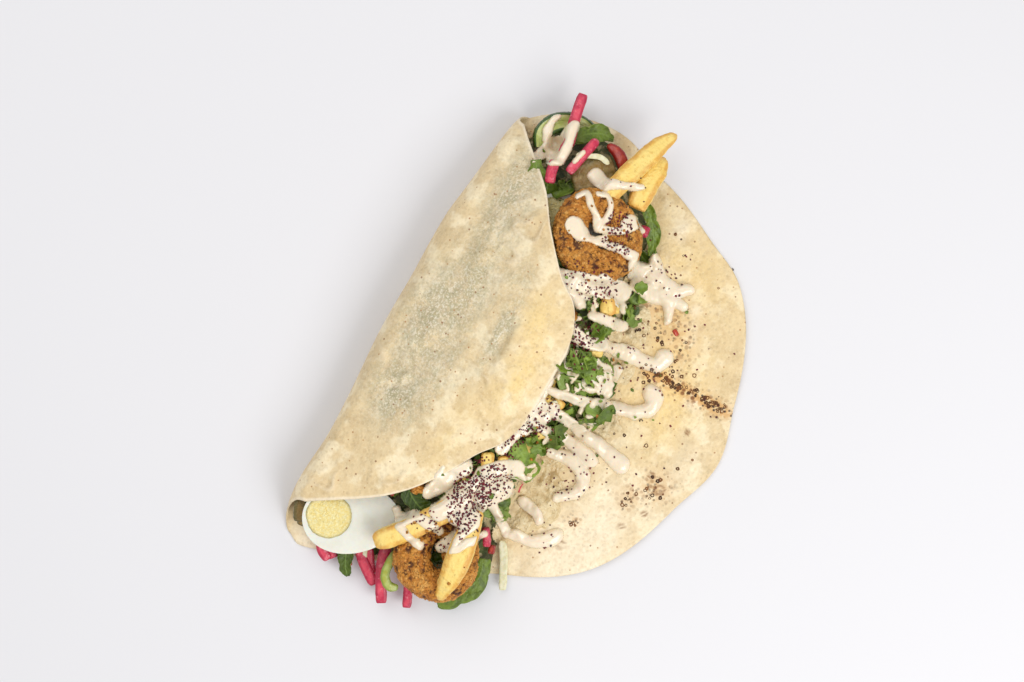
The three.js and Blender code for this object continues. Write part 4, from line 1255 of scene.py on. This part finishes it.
# Each as node, midrib, width, cup, wave, share of the width at both tips, tone from dark to light, and frill.
LEAVES = [
    ("leaf_mid", [(-47, -21, 35), (-51, -29, 33), (-57, -35, 28), (-64, -41, 22)],
     20, 2.0, 0.5, (0.3, 0.1), 0.85, 0.4),
    ("leaf_low_big",
     [(-117, -41, 14), (-127, -44.5, 12.5), (-138, -42, 12), (-148, -37, 12), (-154, -31, 12)],
     16.5, -2.0, 0.7, (0.5, 0.3), 0.5, 0.35),
    ("leaf_low_dark", [(-99, 20, 34), (-105, 12, 33), (-108, 2, 32), (-106, -5, 30)],
     14, 1, 0.4, (0.5, 0.3), 0.0, 0.4),
    ("leaf_low_small", [(-147, 35, 13), (-155, 31, 11), (-163, 27, 9), (-167, 23, 7)],
     10, 1, 0.4, (0.6, 0.2), 0.15, 0.35),
    ("leaf_top_outer", [(123, 36, 23), (130, 31, 21.5), (135, 24, 18.5), (136, 16, 15.5)],
     12, 1.2, 0.6, (0.5, 0.2), 0.45, 0.4),
    ("leaf_top_left", [(101, 49, 33.5), (95, 45, 32), (89, 39, 31), (85, 36, 31)],
     12, 1, 0.5, (0.5, 0.3), 0.4, 0.4),
    ("leaf_side", [(113, -18, 18), (106, -27, 15), (97, -34, 11), (88, -38, 9)],
     10.4, 1, 0.5, (0.3, 0.3), 0.6, 0.45),
]
for number, leaf in enumerate(LEAVES):
    make_leaf(*leaf, seed=number * 1.7)


def make_cucumber():
    """The curled cucumber slice: a thick leaf-shaped sheet with a marked rind along its edges."""
    path = [(110, 51, 18), (118, 54, 19), (127, 50, 19), (133.5, 40, 17), (135, 30, 15)]
    rows, columns = 60, 25
    middle, _ = leaf_grid(path, 10.4, 1.5, 0.1, (0.6, 0.5), rows, columns, 0.0, 0)
    points, quads = shell(middle, grid_normals(middle), CUCUMBER_THICKNESS / 2)
    marks = {"edge": np.tile(smooth_step(0.82, 0.9, np.abs(np.linspace(-1, 1, columns))), 2 * rows)}
    node = "cucumber_slice"
    add_piece(node + "_fine", points, quads, CUCUMBER, marks=marks, stands_for=[node])


make_cucumber()

taken = soften(ground - heap_ground, 2)

# ---------- loose pieces ----------

OPEN_SLOPE_X = (-146, 132)  # the two ends of the heap's open slope
LOWEST = 0.4  # loose pieces stay above this
STEEPEST = 1.2  # the steepest slope that loose pieces lie along
LARGE_RISE = 1.2  # what stands this far over the heap is a large piece


def strew(shapes, spots, keys, seed, tilt, tone_range=(0, 1), covers=True):
    """Copies of small shapes as one part for add_joined. Each spot is x, y, z, size, and its shape is
    turned about Z at random, tilted at random, laid on the ground's slope, scaled and moved."""
    rng = np.random.default_rng(seed)
    field = soften(ground, 4)
    count = len(spots)
    x, y, z, size = spots.T
    step = 1.5
    dx = (height_at(field, x + step, y) - height_at(field, x - step, y)) / (2 * step)
    dy = (height_at(field, x, y + step) - height_at(field, x, y - step)) / (2 * step)
    steep = np.clip(np.stack([dx, dy], -1), -STEEPEST, STEEPEST)
    up = np.stack([-steep[:, 0], -steep[:, 1], np.ones(count)], -1)
    up = unit(up + rng.normal(0, tilt, (count, 3)) * (1, 1, 0.2))
    yaw = rng.uniform(0, TURN, count)
    first = flat(np.cos(yaw), np.sin(yaw))
    first = unit(first - up * np.einsum("ij,ij->i", first, up)[:, None])
    second = np.cross(up, first)
    which = rng.integers(0, len(shapes), count)
    tones = rng.uniform(*tone_range, count)
    all_points, all_quads, all_marks = [], [], {key: [] for key in [*keys, "tone"]}
    start = 0
    for k, (points, quads, own) in enumerate(shapes):
        chosen = np.nonzero(which == k)[0]
        scaled = points[None] * size[chosen, None, None]
        placed = (
            scaled[..., :1] * first[chosen, None] + scaled[..., 1:2] * second[chosen, None]
            + scaled[..., 2:] * up[chosen, None] + np.stack([x, y, z], -1)[chosen, None]
        )
        all_points.append(placed.reshape(-1, 3))
        offsets = start + np.arange(len(chosen)) * len(points)
        all_quads.append((quads[None] + offsets[:, None, None]).reshape(-1, 4))
        start += len(chosen) * len(points)
        for key in keys:
            all_marks[key].append(np.tile(own[key], len(chosen)))
        all_marks["tone"].append(np.repeat(tones[chosen], len(points)))
    points = np.concatenate(all_points)
    points[:, 2] = np.clip(points[:, 2], LOWEST, HIGHEST)
    quads = np.concatenate(all_quads)
    if covers:
        cover(points, quads)
    return points, quads, NO_TRIANGLES, {key: np.concatenate(values) for key, values in all_marks.items()}


def clear_spots(spots, limit=LARGE_RISE):
    """The spots that do not lie over one of the large pieces."""
    return spots[height_at(taken, spots[:, 0], spots[:, 1]) < limit]


def chopped_leaf(seed):
    """A cut bit of parsley, unit long: a thin sheet with a ragged, lobed outline, folded along its rib and
    curled, with its rib and back marked."""
    rows, columns, lobes = 7, 5, 0.22
    rng = np.random.default_rng(seed)
    along = np.linspace(-0.5, 0.5, rows)[:, None]
    across = np.linspace(-1, 1, columns)[None, :]
    half = rng.uniform(0.22, 0.5) * (0.45 + 0.55 * np.cos(along * math.pi))
    half = half * (1 + lobes * np.cos(np.arange(rows)[:, None] * 2.4 + rng.uniform(0, 6)))
    x = along + 0.07 * np.abs(across) * rng.uniform(-1, 1.4, (rows, 1))
    x = x + 0.03 * rng.uniform(-1, 1, (rows, columns))
    y = across * half + rng.uniform(-0.3, 0.3) * along**2 + 0.03 * rng.uniform(-1, 1, (rows, columns))
    fold = rng.uniform(0.1, 0.9)
    z = fold * np.abs(across) * half + rng.uniform(-0.6, 0.6) * along**2
    z = z + 0.05 * rng.uniform(-1, 1, (rows, columns)) * np.abs(across)
    middle = np.stack([x, y, z], -1)
    points, quads = shell(middle, -grid_normals(middle), 0.02)
    vein = (np.exp(-((across / 0.25) ** 2)) * 0.7 + 0 * along).ravel()
    upside_down = seed % 3 == 0
    back = np.repeat([1.0, 0.0] if upside_down else [0.0, 1.0], vein.size)
    return points, quads, {"vein": np.tile(vein, 2), "back": back}


def cut_block(seed, size, rows=6, columns=12, uneven=0.05):
    """A small uneven block, unit long, of few faces: rings of a squared ball pushed about by chance, with
    its end rings drawn in to a point."""
    rng = np.random.default_rng(seed)
    block = signed_power(ball_grid(rows, columns, 0.02), 0.4)
    block = block * (1 + uneven * rng.uniform(-1, 1, (rows, columns, 1)))
    block[0] = block[0].mean(0)
    block[-1] = block[-1].mean(0)
    points = (block * np.array(size) / 2).reshape(-1, 3)
    quads = grid_quads(rows, columns, closed_columns=True)
    edge = np.full(len(points), 0.3)
    return points, quads, {"edge": edge, "cut": 1 - edge}


def shred(seed):
    """A thin curved strip, unit long, of few faces: a flat section carried along a bent line."""
    width, thick = 0.12, 0.07
    rng = np.random.default_rng(seed)
    along = np.linspace(-0.5, 0.5, 7)[:, None]
    across = np.linspace(-1, 1, 3)[None, :]
    bend = rng.uniform(-0.6, 0.6)
    x = along + 0 * across
    y = across * width / 2 + bend * along**2
    z = rng.uniform(-0.3, 0.5) * along**2 + 0 * across
    middle = np.stack([x, y, z], -1)
    points, quads = shell(middle, grid_normals(middle), thick / 2)
    edge = np.full(len(points), rng.uniform(0, 0.6))
    return points, quads, {"edge": edge, "cut": 1 - edge}


def scab(seed):
    """A browned blister, unit wide: a flat ring, uneven by chance, some nearly closed to a disc."""
    rng = np.random.default_rng(seed)
    rows, columns = 9, 4
    around = round_turn(rows)[:, None]
    section = round_turn(columns)[None, :]
    hole = rng.uniform(0.06, 0.3)
    middle, half = (0.5 + hole) / 2, (0.5 - hole) / 2
    reach = (middle + half * np.cos(section)) * (1 + 0.15 * rng.uniform(-1, 1, (rows, 1)))
    height = 0.1 * np.sin(section) + 0 * around
    points = np.stack([np.cos(around) * reach, np.sin(around) * reach, height], -1)
    return points.reshape(-1, 3), grid_quads(rows, columns, True, True), {}


def cluster_spots(rows, seed, lift, sizes):
    """Spots in oval clusters, each given as x, y, radius along X, radius along Y and count, at the ground's
    height plus a lift, with sizes spread evenly between the two limits."""
    rng = np.random.default_rng(seed)
    field = soften(ground, 2)
    made = []
    for cx, cy, rx, ry, count in rows:
        radius = np.sqrt(rng.uniform(0, 1, count))
        angle = rng.uniform(0, TURN, count)
        x = cx + rx * radius * np.cos(angle)
        y = cy + ry * radius * np.sin(angle)
        z = height_at(field, x, y) + lift * rng.uniform(0, 1, count)
        made.append(np.stack([x, y, z, rng.uniform(*sizes, count)], -1))
    return np.concatenate(made)


def band_spots(count, seed, low, lift, sizes):
    """Spots spread over the heap's open slope: even in X, and from a low share of the way between the
    heap's edge and the flap's edge up to the flap's edge."""
    rng = np.random.default_rng(seed)
    field = soften(ground, 2)
    x = rng.uniform(*OPEN_SLOPE_X, count)
    outside = through(HEAP_OUTSIDE, x)
    edge = np.minimum(flap_edge(x), 55)
    y = outside + (edge + 4 - outside) * rng.uniform(low, 1.0, count)
    z = height_at(field, x, y) + lift * rng.uniform(-0.2, 1, count)
    return np.stack([x, y, z, rng.uniform(*sizes, count)], -1)


LEAF_MARKS = ["vein", "back"]
CUT_MARKS = ["edge", "cut"]
PARSLEY = [chopped_leaf(seed) for seed in range(9)]
BLOCKS = [cut_block(seed, (1, 0.62, 0.55)) for seed in range(6)]
SHREDS = [shred(seed) for seed in range(6)]
CRUMBS = [cut_block(seed, (1, 0.85, 0.75), 4, 6, 0.16) for seed in range(10, 15)]
FLAKES = [cut_block(seed, (1, 0.8, 0.45), 4, 5, 0.16) for seed in range(20, 26)]
SCABS = [scab(seed) for seed in range(6)]

# Clusters, here and below: x, y, radius along X, radius along Y, count.
HERB_CLUSTERS = [
    (6, -34, 11, 10, 17), (9, -43, 9, 9, 8), (-10, -53, 8, 7, 7), (-14, -40, 4, 4, 2), (-33, -41, 4, 4, 3),
    (-31, -40, 5, 5, 2), (85, -35, 3, 3, 2), (66, -43, 4, 3, 3), (52, -43, 3, 4, 3), (32, -34, 4, 3, 2),
    (131, 24, 4, 5, 3), (96, 27, 4, 3, 3), (130, 3, 2, 2, 2), (-88, -38, 3, 3, 2), (-42, -35, 3, 3, 2),
]
POTATO_CLUSTERS = [
    (48, -33, 5, 5, 4), (22, -37, 3, 3, 2), (-3, -24, 3, 3, 2), (-35, -33, 4, 4, 3), (-34, -19, 4, 3, 3),
    (-44, -31, 4, 4, 3), (-16, -26, 4, 3, 2),
]
TOMATO_CLUSTERS = [(39, -44, 2, 2, 2), (57, -74, 1, 1, 1)]
herbs = [
    strew(PARSLEY, clear_spots(band_spots(330, 201, 0.15, 0.5, (7, 12))), LEAF_MARKS, 202, 0.55, (0, 0.4)),
]
# Each as piece, shapes, material, slot, seed, how many lie in the band, its low share, their lift and sizes,
# then clusters with their seed, lift and sizes.
LOOSE_BITS = [
    ("potato_bits", BLOCKS, FRY, "fry", 203, 30, 0.45, 0.8, (5, 9), (POTATO_CLUSTERS, 221, 1.2, (6, 9))),
    ("tomato_bits", BLOCKS, TOMATO, "tomato", 205, 10, 0.1, 0.4, (3, 5), (TOMATO_CLUSTERS, 222, 0.6, (4, 6))),
    ("turnip_bits", SHREDS, TURNIP, "turnip", 207, 16, 0.1, 0.4, (5, 9), None),
    ("cabbage_shreds", SHREDS, CABBAGE, "cabbage", 209, 34, 0.0, 0.5, (7, 13), None),
]
for name, shapes, material, slot, seed, count, low, lift, sizes, clusters in LOOSE_BITS:
    spots = clear_spots(band_spots(count, seed, low, lift, sizes))
    if clusters:
        spots = np.concatenate([spots, cluster_spots(*clusters)])
    add_joined(name, [strew(shapes, spots, CUT_MARKS, seed + 1, 0.4)], material)

# ---------- chickpea spread ----------

# Masses: x, y, radius along X, radius along Y, height.
SPREAD_MASSES = [
    (-58, -53, 9, 7, 6.0), (-74, -58, 11, 8, 6.2), (-88, -52, 8, 6, 5.0), (-22, -56, 11, 8, 5.0),
    (-28, -67, 9, 5, 3.4), (-9, -70, 9, 5, 3.2), (42, -53, 11, 8, 4.8), (20, -60, 8, 5, 3.4),
    (54, -50, 6, 6, 3.6), (32, -46, 8, 6, 4.4), (66, -38, 6, 6, 4.0), (-44, -44, 8, 6, 4.4),
    (-66, -45, 9, 6, 4.6), (-98, -44, 6, 5, 3.6), (-8, -58, 8, 6, 3.8), (8, -54, 8, 6, 3.6),
]
SPREAD_X = (-112, 76)
SPREAD_Y = (-92, -30)
SPREAD_STEP = 0.75
SHEET_SKIRT = 0.9  # how far a laid sheet reaches below what it lies on, past its visible edge
SHEET_UNDER = 0.3  # its thickness below that


def lay_sheet(name, x, y, layer, bed, material, marks, stands_for=()):
    """A closed sheet over a grid of spots: its top is the bed plus the layer's height, dropping just under
    the bed past its edge, its bottom lies just below, and cells beyond the edge are left out."""
    bed_here = height_at(bed, x, y)
    top = np.minimum(bed_here + np.maximum(layer, -SHEET_SKIRT), HIGHEST - 0.2)
    thick = np.maximum(layer, 0) + SHEET_SKIRT + SHEET_UNDER
    kept = layer > -SHEET_SKIRT
    cell = kept[:-1, :-1] & kept[1:, :-1] & kept[:-1, 1:] & kept[1:, 1:]
    count = x.size
    number = np.arange(count).reshape(x.shape)
    upper = np.stack([number[:-1, :-1], number[:-1, 1:], number[1:, 1:], number[1:, :-1]], -1)
    padded = np.pad(cell, 1)
    sides = [((1, 0), (0, 1)), ((2, 1), (1, 2)), ((3, 2), (2, 1)), ((0, 3), (1, 0))]
    walls = []
    for (one, two), (di, dj) in sides:
        open_side = cell & ~padded[di:di + cell.shape[0], dj:dj + cell.shape[1]]
        a, b = upper[open_side][:, one], upper[open_side][:, two]
        walls.append(np.stack([a, b, b + count, a + count], -1))
    lid = upper[cell]
    quads = np.concatenate([lid, lid[:, ::-1] + count, *walls])
    points = both_sides(np.stack([x, y, top], -1), np.stack([x, y, np.maximum(top - thick, 0.2)], -1))
    used, compact = np.unique(quads, return_inverse=True)
    marks = {key: np.tile(values.ravel(), 2)[used] for key, values in marks.items()}
    add_piece(name, points[used], compact.reshape(-1, 4), material, marks=marks, stands_for=stands_for)


def make_spread():
    """The mashed chickpea spread on the heap's outer slope and the bread beside it: masses broken into
    crumbs by ridged noise of two sizes, deeper where crumbs part."""
    x, y = np.meshgrid(np.arange(*SPREAD_X, SPREAD_STEP), np.arange(*SPREAD_Y, SPREAD_STEP), indexing="xy")
    spot = flat(x, y)
    masses = hills(x, y, SPREAD_MASSES)
    crumbs = 1.9 * rough(spot, 7, 2, 21) + 2.0 * (0.5 - np.abs(noise(spot, 5, 24)))
    crumbs = crumbs + 1.2 * noise(spot, 2.4, 27)
    layer = masses * 0.75 - 1.3 + crumbs * smooth_step(0.5, 2.5, masses)
    # Painted shade where the crumbs part.
    pit = 1 - smooth_step(-0.9, 0.5, crumbs)
    lay_sheet("chickpea_spread", x, y, layer, soften(ground, 6), SPREAD, {"pit": pit})


make_spread()
herbs.append(strew(
    PARSLEY, clear_spots(cluster_spots(HERB_CLUSTERS, 223, 1.2, (9, 17)), 3.0), LEAF_MARKS, 224, 0.6,
    (0.1, 0.9),
))

# ---------- tahini ----------

# Each stroke: radius at its start and end, height, then the points it runs through.
STROKES = [
    # on the upper fries
    (5.0, 3.6, 2.8, [(110, 14), (109, 7), (111, 2)]),
    (3.0, 2.0, 2.0, [(111, 3), (113, -3), (118, -13)]),
    # on the upper falafel
    (5.6, 5.4, 3.4, [(78, 10), (77, 6)]),
    (3.4, 2.2, 2.2, [(77, 6), (76, 2), (77, -3)]),
    (1.8, 2.2, 2.4, [(94, 17), (98, 14), (93, 8), (87, 1), (84, -2)]),
    (1.8, 2.2, 2.4, [(101, 8), (103, 3), (98, -2), (91, -3), (85, -2)]),
    (1.8, 3.0, 1.6, [(84, -4), (87, -11), (92, -16), (98, -21)]),
    (3.2, 2.6, 1.6, [(93, -14), (99, -18), (97, -24)]),
    (2.2, 3.0, 2.2, [(76, -1), (78, -10), (80, -18)]),
    (3.0, 3.8, 3.0, [(80, -18), (80, -24), (80, -31)]),
    (2.0, 1.4, 1.2, [(78, -4), (82, -9)]),
    # the spill beside it
    (6.0, 5.6, 5.0, [(76, -33), (78, -40), (77, -47)]),
    (5.6, 4.0, 4.4, [(77, -47), (78, -56), (78, -63), (82, -68)]),
    (4.4, 3.8, 4.0, [(87, -42), (81, -48), (77, -54)]),
    (4.6, 3.0, 3.6, [(73, -56), (66, -63), (60, -66)]),
    (5.4, 5.0, 3.8, [(70, -40), (69, -51), (72, -60)]),
    (4.0, 3.2, 3.2, [(71, -58), (72, -70)]),
    # over the heap below the falafel
    (5.4, 6.4, 2.8, [(49, 3), (52, -10), (55, -21), (61, -33)]),
    (4.0, 3.4, 2.4, [(50, 4), (44, -7), (41, -15)]),
    (3.4, 3.0, 2.2, [(60, -20), (56, -30), (52, -40)]),
    (3.0, 3.8, 2.6, [(39, -24), (41, -37), (44, -45)]),
    # the fingers
    (4.2, 4.2, 3.0, [(31, -10), (25, -20), (24, -29), (28, -41)]),
    (4.2, 5.4, 4.2, [(28, -41), (31, -53), (32, -66), (34, -73), (40, -76)]),
    (4.4, 3.8, 2.6, [(10, -40), (9, -48), (5, -56)]),
    (2.8, 3.4, 2.4, [(-10, -26), (-8, -41), (-5, -51)]),
    (3.8, 5.4, 4.2, [(-5, -51), (-2, -62), (2, -74), (7, -82), (14, -84), (18, -79)]),
    (3.0, 3.8, 2.6, [(-20, -24), (-22, -46), (-24, -58)]),
    (3.8, 5.4, 4.2, [(-24, -58), (-25, -71), (-27, -80), (-29, -86)]),
    (3.2, 4.8, 3.4, [(-32, -26), (-32, -40), (-32, -52), (-35, -68)]),
    (3.8, 4.4, 3.8, [(-43, -46), (-41, -58), (-44, -67), (-51, -72)]),
    (4.4, 3.8, 3.8, [(-51, -72), (-58, -69), (-64, -62)]),
    (3.4, 4.8, 3.4, [(-97, -50), (-95, -61), (-91, -69), (-84, -73)]),
    (3.8, 3.2, 2.8, [(-77, -46), (-78, -55), (-82, -60)]),
    # by the flap's low edge
    (4.6, 7.0, 3.6, [(-97, 7), (-90, 4), (-84, 3)]),
    (7.6, 5.0, 4.6, [(-84, 3), (-78, -1), (-73, -4)]),
    (4.0, 3.6, 2.6, [(-76, 8), (-71, 4), (-66, 0)]),
    # the sumac-covered pool
    (6.0, 7.2, 2.6, [(-103, -5), (-93, -9), (-84, -14), (-74, -18)]),
    (7.4, 5.6, 2.6, [(-74, -18), (-66, -23), (-60, -30)]),
    (5.4, 6.0, 2.4, [(-101, -16), (-91, -21), (-82, -26), (-74, -32)]),
    (4.0, 4.4, 2.4, [(-54, -17), (-46, -18), (-38, -20), (-27, -24)]),
    (4.2, 3.8, 2.2, [(-38, -22), (-28, -28), (-18, -32)]),
    (3.2, 3.0, 2.0, [(-86, -30), (-92, -38), (-98, -46)]),
    (3.6, 2.8, 2.0, [(-4, -20), (-16, -22), (-30, -22)]),
    # on the lower fries
    (2.8, 3.2, 2.1, [(-116, 18), (-122, 10), (-125, 2), (-126, -5)]),
    (3.4, 3.0, 2.1, [(-117, 11), (-112, 6), (-112, -2), (-114, -11)]),
    (3.2, 3.8, 2.0, [(-122, -16), (-116, -19), (-107, -22), (-97, -25)]),
    (2.0, 2.6, 1.8, [(-122, -17), (-117, -24), (-110, -28), (-103, -34)]),
    # over the top end
    (3.4, 5.6, 3.0, [(130, 40), (122, 40), (114, 39), (108, 39)]),
    (5.4, 3.4, 2.8, [(117, 43), (110, 47), (101, 52)]),
    (3.6, 3.0, 2.2, [(110, 40), (104, 40)]),
    (2.8, 2.6, 1.4, [(130, 52), (123, 52), (116, 50)]),
    (1.6, 1.4, 1.4, [(118, 27), (114, 28), (110, 29)]),
    # where the mouth is open near the middle
    (3.6, 4.0, 2.2, [(22, -15), (14, -19), (4, -20)]),
    (2.0, 2.2, 1.6, [(12, -34), (4, -40), (-2, -38)]),
    (2.4, 3.4, 2.2, [(3, -50), (11, -54), (20, -55)]),
    (2.0, 2.6, 2.0, [(17, -41), (17, -49), (14, -54)]),
]
DROP_CLUSTERS = [
    (6, -34, 11, 14, 26), (-12, -52, 8, 8, 8), (-30, -40, 6, 6, 6), (-60, -38, 10, 8, 8), (40, -20, 10, 8, 8),
]
SAUCE_STEP = 0.6
TAHINI_NODES = [
    "tahini_mound", "tahini_spill", "tahini_finger_one", "tahini_finger_two", "tahini_finger_three",
    "tahini_finger_four",
]
SAUCE_X = (-142, 150)
SAUCE_Y = (-96, 62)
BRIDGE_CELLS = 5  # half the widest gap, in cells of the ground map, that the sauce spans


def stroke_field(x, y, start, end, height, path):
    """Height of one stroke over its bed: a half ellipse across the distance to the path, its radius going
    from the start's to the end's, and below zero outside it."""
    p = np.array([(*point, 0.0) for point in path])
    share = np.linspace(0, 1, 22)
    line = along_path(p, share)[:, :2]
    best = np.full(x.shape, 1e9)
    for k in range(len(line) - 1):
        t, off = off_line(x, y, line[k], line[k + 1])
        radius = start + (end - start) * (share[k] + t * (share[k + 1] - share[k]))
        best = np.minimum(best, off / radius)
    inner = height * np.sqrt(np.maximum(1 - best**2, 0))
    return np.where(best < 1, inner, -(best - 1) * (start + end))


def bridged(field, reach):
    """The field with gaps narrower than twice the reach (in cells) closed over: the highest value within
    the reach, then the lowest value within the reach of that."""
    for pick in (np.maximum, np.minimum):
        for axis in (0, 1):
            result = field.copy()
            for step in range(1, reach + 1):
                result = pick(result, np.roll(field, step, axis))
                result = pick(result, np.roll(field, -step, axis))
            field = result
    return field


def sauce_drops(seed):
    """Short thin strokes of sauce splashed over the herbs: each starts at a chance spot in an oval and
    runs a few millimetres."""
    rng = np.random.default_rng(seed)
    drops = []
    for cx, cy, rx, ry, count in DROP_CLUSTERS:
        for _ in range(count):
            x, y = cx + rng.uniform(-rx, rx), cy + rng.uniform(-ry, ry)
            turn, run = rng.uniform(0, TURN), rng.uniform(0.5, 5)
            size = rng.uniform(0.8, 1.7)
            end = (x + run * math.cos(turn), y + run * math.sin(turn))
            drops.append((size, size * rng.uniform(0.6, 1.2), size * 0.9, [(x, y), end]))
    return drops


def make_tahini():
    """All the sauce as one closed sheet over the ground map: the strokes' heights are joined smoothly by a
    power sum, bent a little at their edges by noise, and laid on the bridged, softened ground."""
    xs = np.arange(*SAUCE_X, SAUCE_STEP)
    ys = np.arange(*SAUCE_Y, SAUCE_STEP)
    x, y = np.meshgrid(xs, ys, indexing="xy")
    spot = flat(x, y)
    bent_x = x + 1.2 * noise(spot, 7, 301) + 0.2 * noise(spot, 2.6, 305)
    bent_y = y + 1.2 * noise(spot, 7, 303) + 0.2 * noise(spot, 2.6, 307)
    highest = np.full(x.shape, -9.0)
    power_sum = np.zeros(x.shape)
    for start, end, height, path in STROKES + sauce_drops(310):
        p = np.array(path)
        room = 1.6 * max(start, end) + 3
        first = np.floor((p.min(0) - room - (xs[0], ys[0])) / SAUCE_STEP).astype(int).clip(0)
        final = np.ceil((p.max(0) + room - (xs[0], ys[0])) / SAUCE_STEP).astype(int)
        window = (slice(first[1], final[1]), slice(first[0], final[0]))
        field = stroke_field(bent_x[window], bent_y[window], start, end, height, path)
        highest[window] = np.maximum(highest[window], field)
        power_sum[window] += np.maximum(field, 0) ** 3
    layer = np.where(highest > 0, np.cbrt(power_sum), highest)
    thin = {"thin": 1 - smooth_step(0.2, 1.4, layer)}
    bed = soften(bridged(ground, BRIDGE_CELLS), 5)
    lay_sheet("tahini_sauce_poured", x, y, layer, bed, TAHINI, thin, TAHINI_NODES)


make_tahini()

# ---------- herbs, crumbs and sumac on top ----------

top_herbs = clear_spots(cluster_spots(HERB_CLUSTERS, 211, 1.2, (7, 14))[::2], 3.0)
herbs.append(strew(PARSLEY, top_herbs, LEAF_MARKS, 212, 0.55, (0.1, 1)))
fine_herbs = np.concatenate([
    clear_spots(band_spots(70, 213, 0.0, 0.5, (1.5, 3.5))),
    cluster_spots([(20, -60, 60, 30, 9)], 214, 0.2, (1.2, 2.6)),
])
herbs.append(strew(PARSLEY, fine_herbs, LEAF_MARKS, 215, 0.4, (0, 1), False))
add_joined("herb_leaves", herbs, LEAF)

FINE_CRUMBS = [(80, -4, 27, 25, 26), (-127, -16, 26, 24, 20), (38, -10, 6, 6, 6), (0, -40, 60, 25, 14)]
BIG_CRUMBS = [(-99, 11, 3, 5, 5), (34, -13, 3, 3, 2)]
CHAR_CLUSTERS = [
    (28, -70, 3, 6, 9), (29, -80, 2.5, 6, 18), (29, -90, 2.5, 5, 20), (31, -100, 3, 4, 10),
    (30, -111, 2.5, 5, 20), (31, -119, 3, 4, 16), (52, -52, 8, 12, 12), (54, -72, 10, 12, 10),
    (42, -88, 10, 10, 6), (-30, -110, 8, 7, 16), (-46, -100, 8, 5, 10), (-72, -78, 3, 3, 6),
    (10, -95, 50, 28, 14), (100, -60, 14, 30, 8),
]
SUMAC_CLUSTERS = [
    (-84, -16, 23, 13, 330), (-74, -24, 14, 10, 110), (-102, -22, 9, 7, 40), (-40, -22, 18, 7, 110),
    (-86, -14, 12, 8, 90), (92, -12, 8, 8, 80), (80, -16, 4, 9, 50), (56, -14, 12, 18, 110),
    (26, -22, 9, 9, 90), (24, -28, 12, 6, 40), (-116, -10, 12, 9, 50), (-112, 0, 8, 8, 25),
    (80, -52, 10, 14, 24), (0, -40, 46, 30, 70), (30, -70, 16, 20, 22), (-52, -62, 22, 14, 40),
    (-90, -66, 10, 8, 12), (20, -88, 70, 36, 40), (112, -8, 14, 14, 12), (100, -58, 3, 4, 4),
    (-25, -30, 14, 6, 60),
]
CHAR_LIFT = 0.02
crumb_spots = np.concatenate([
    cluster_spots(FINE_CRUMBS, 216, 0.1, (0.8, 2.0)), cluster_spots(BIG_CRUMBS, 227, 0.6, (4, 7)),
])
char_spots = cluster_spots(CHAR_CLUSTERS, 225, 0.0, (1.1, 2.7)) + (0, 0, CHAR_LIFT, 0)
sumac_spots = cluster_spots(SUMAC_CLUSTERS, 218, 0.25, (0.65, 1.6))
# Each as piece, shapes, spots, marks, seed, tilt, material and slot.
FINE_BITS = [
    ("falafel_crumbs", CRUMBS, crumb_spots, ["edge"], 217, 0.5, FALAFEL, "falafel"),
    ("char_spots", SCABS, char_spots, [], 226, 0.03, CHAR, "bread"),
    ("sumac_flakes", FLAKES, sumac_spots, [], 219, 0.5, SUMAC, "sumac"),
]
for name, shapes, spots, marks, seed, tilt, material, slot in FINE_BITS:
    add_joined(name, [strew(shapes, spots, marks, seed, tilt, (0, 1), False)], material)

# ---------- stage, light and camera ----------


FLOOR_SIDE = 3000
FLOOR_DEPTH = 0.3  # how far the floor lies under the bread, so that the two faces do not meet
# Each as place in metres, size in metres and power in watts.
LIGHTS = {"key": ((-0.30, -1.0, 1.1), 0.9, 12.4), "fill": ((0.35, 0.75, 1.3), 1.2, 7.0)}
ROOM_COLOUR = (1, 1, 1.01, 1)
ROOM_BRIGHTNESS = 0.60
CAMERA_PLACE = (0.0030, 0.0084, 1.0)
CAMERA_TURN = -60
CAMERA_LENS = 58.6
CAMERA_SENSOR = 36


def make_floor():
    """A wide plain pale sheet just under the bread."""
    corners = np.array([(-1, -1), (1, -1), (1, 1), (-1, 1)]) * FLOOR_SIDE * MM
    points = [(x, y, -FLOOR_DEPTH * MM) for x, y in corners.tolist()]
    mesh = bpy.data.meshes.new("floor")
    mesh.from_pydata(points, [], [(0, 1, 2, 3)])
    floor = bpy.data.objects.new("floor", mesh)
    bpy.context.scene.collection.objects.link(floor)
    tints = [((223, 222, 224), patch(300, 0.3, 0.7), 0.15)]
    mesh.materials.append(finish("floor_pale", (227, 226, 228), 0.8, tints, []))


def make_light(name, place, size, power):
    """A square area light turned to the middle of the wrap."""
    lamp = bpy.data.lights.new(name, "AREA")
    lamp.size = size
    lamp.energy = power
    light = bpy.data.objects.new(name, lamp)
    bpy.context.scene.collection.objects.link(light)
    light.location = place
    light.rotation_euler = (-light.location).to_track_quat("-Z", "Y").to_euler()


def make_camera():
    """A camera a metre above the wrap, looking straight down, turned so that the fold runs up to the
    right."""
    data = bpy.data.cameras.new("camera")
    data.sensor_width = CAMERA_SENSOR
    data.lens = CAMERA_LENS
    camera = bpy.data.objects.new("camera", data)
    bpy.context.scene.collection.objects.link(camera)
    camera.location = CAMERA_PLACE
    camera.rotation_euler = (0, 0, math.radians(CAMERA_TURN))
    bpy.context.scene.camera = camera


make_floor()
for name, light in LIGHTS.items():
    make_light(name, *light)
world = bpy.data.worlds.new("soft_room")
bpy.context.scene.world = world
world.use_nodes = True
world.node_tree.nodes["Background"].inputs["Color"].default_value = ROOM_COLOUR
world.node_tree.nodes["Background"].inputs["Strength"].default_value = ROOM_BRIGHTNESS
make_camera()
bpy.context.scene.view_settings.view_transform = "Standard"
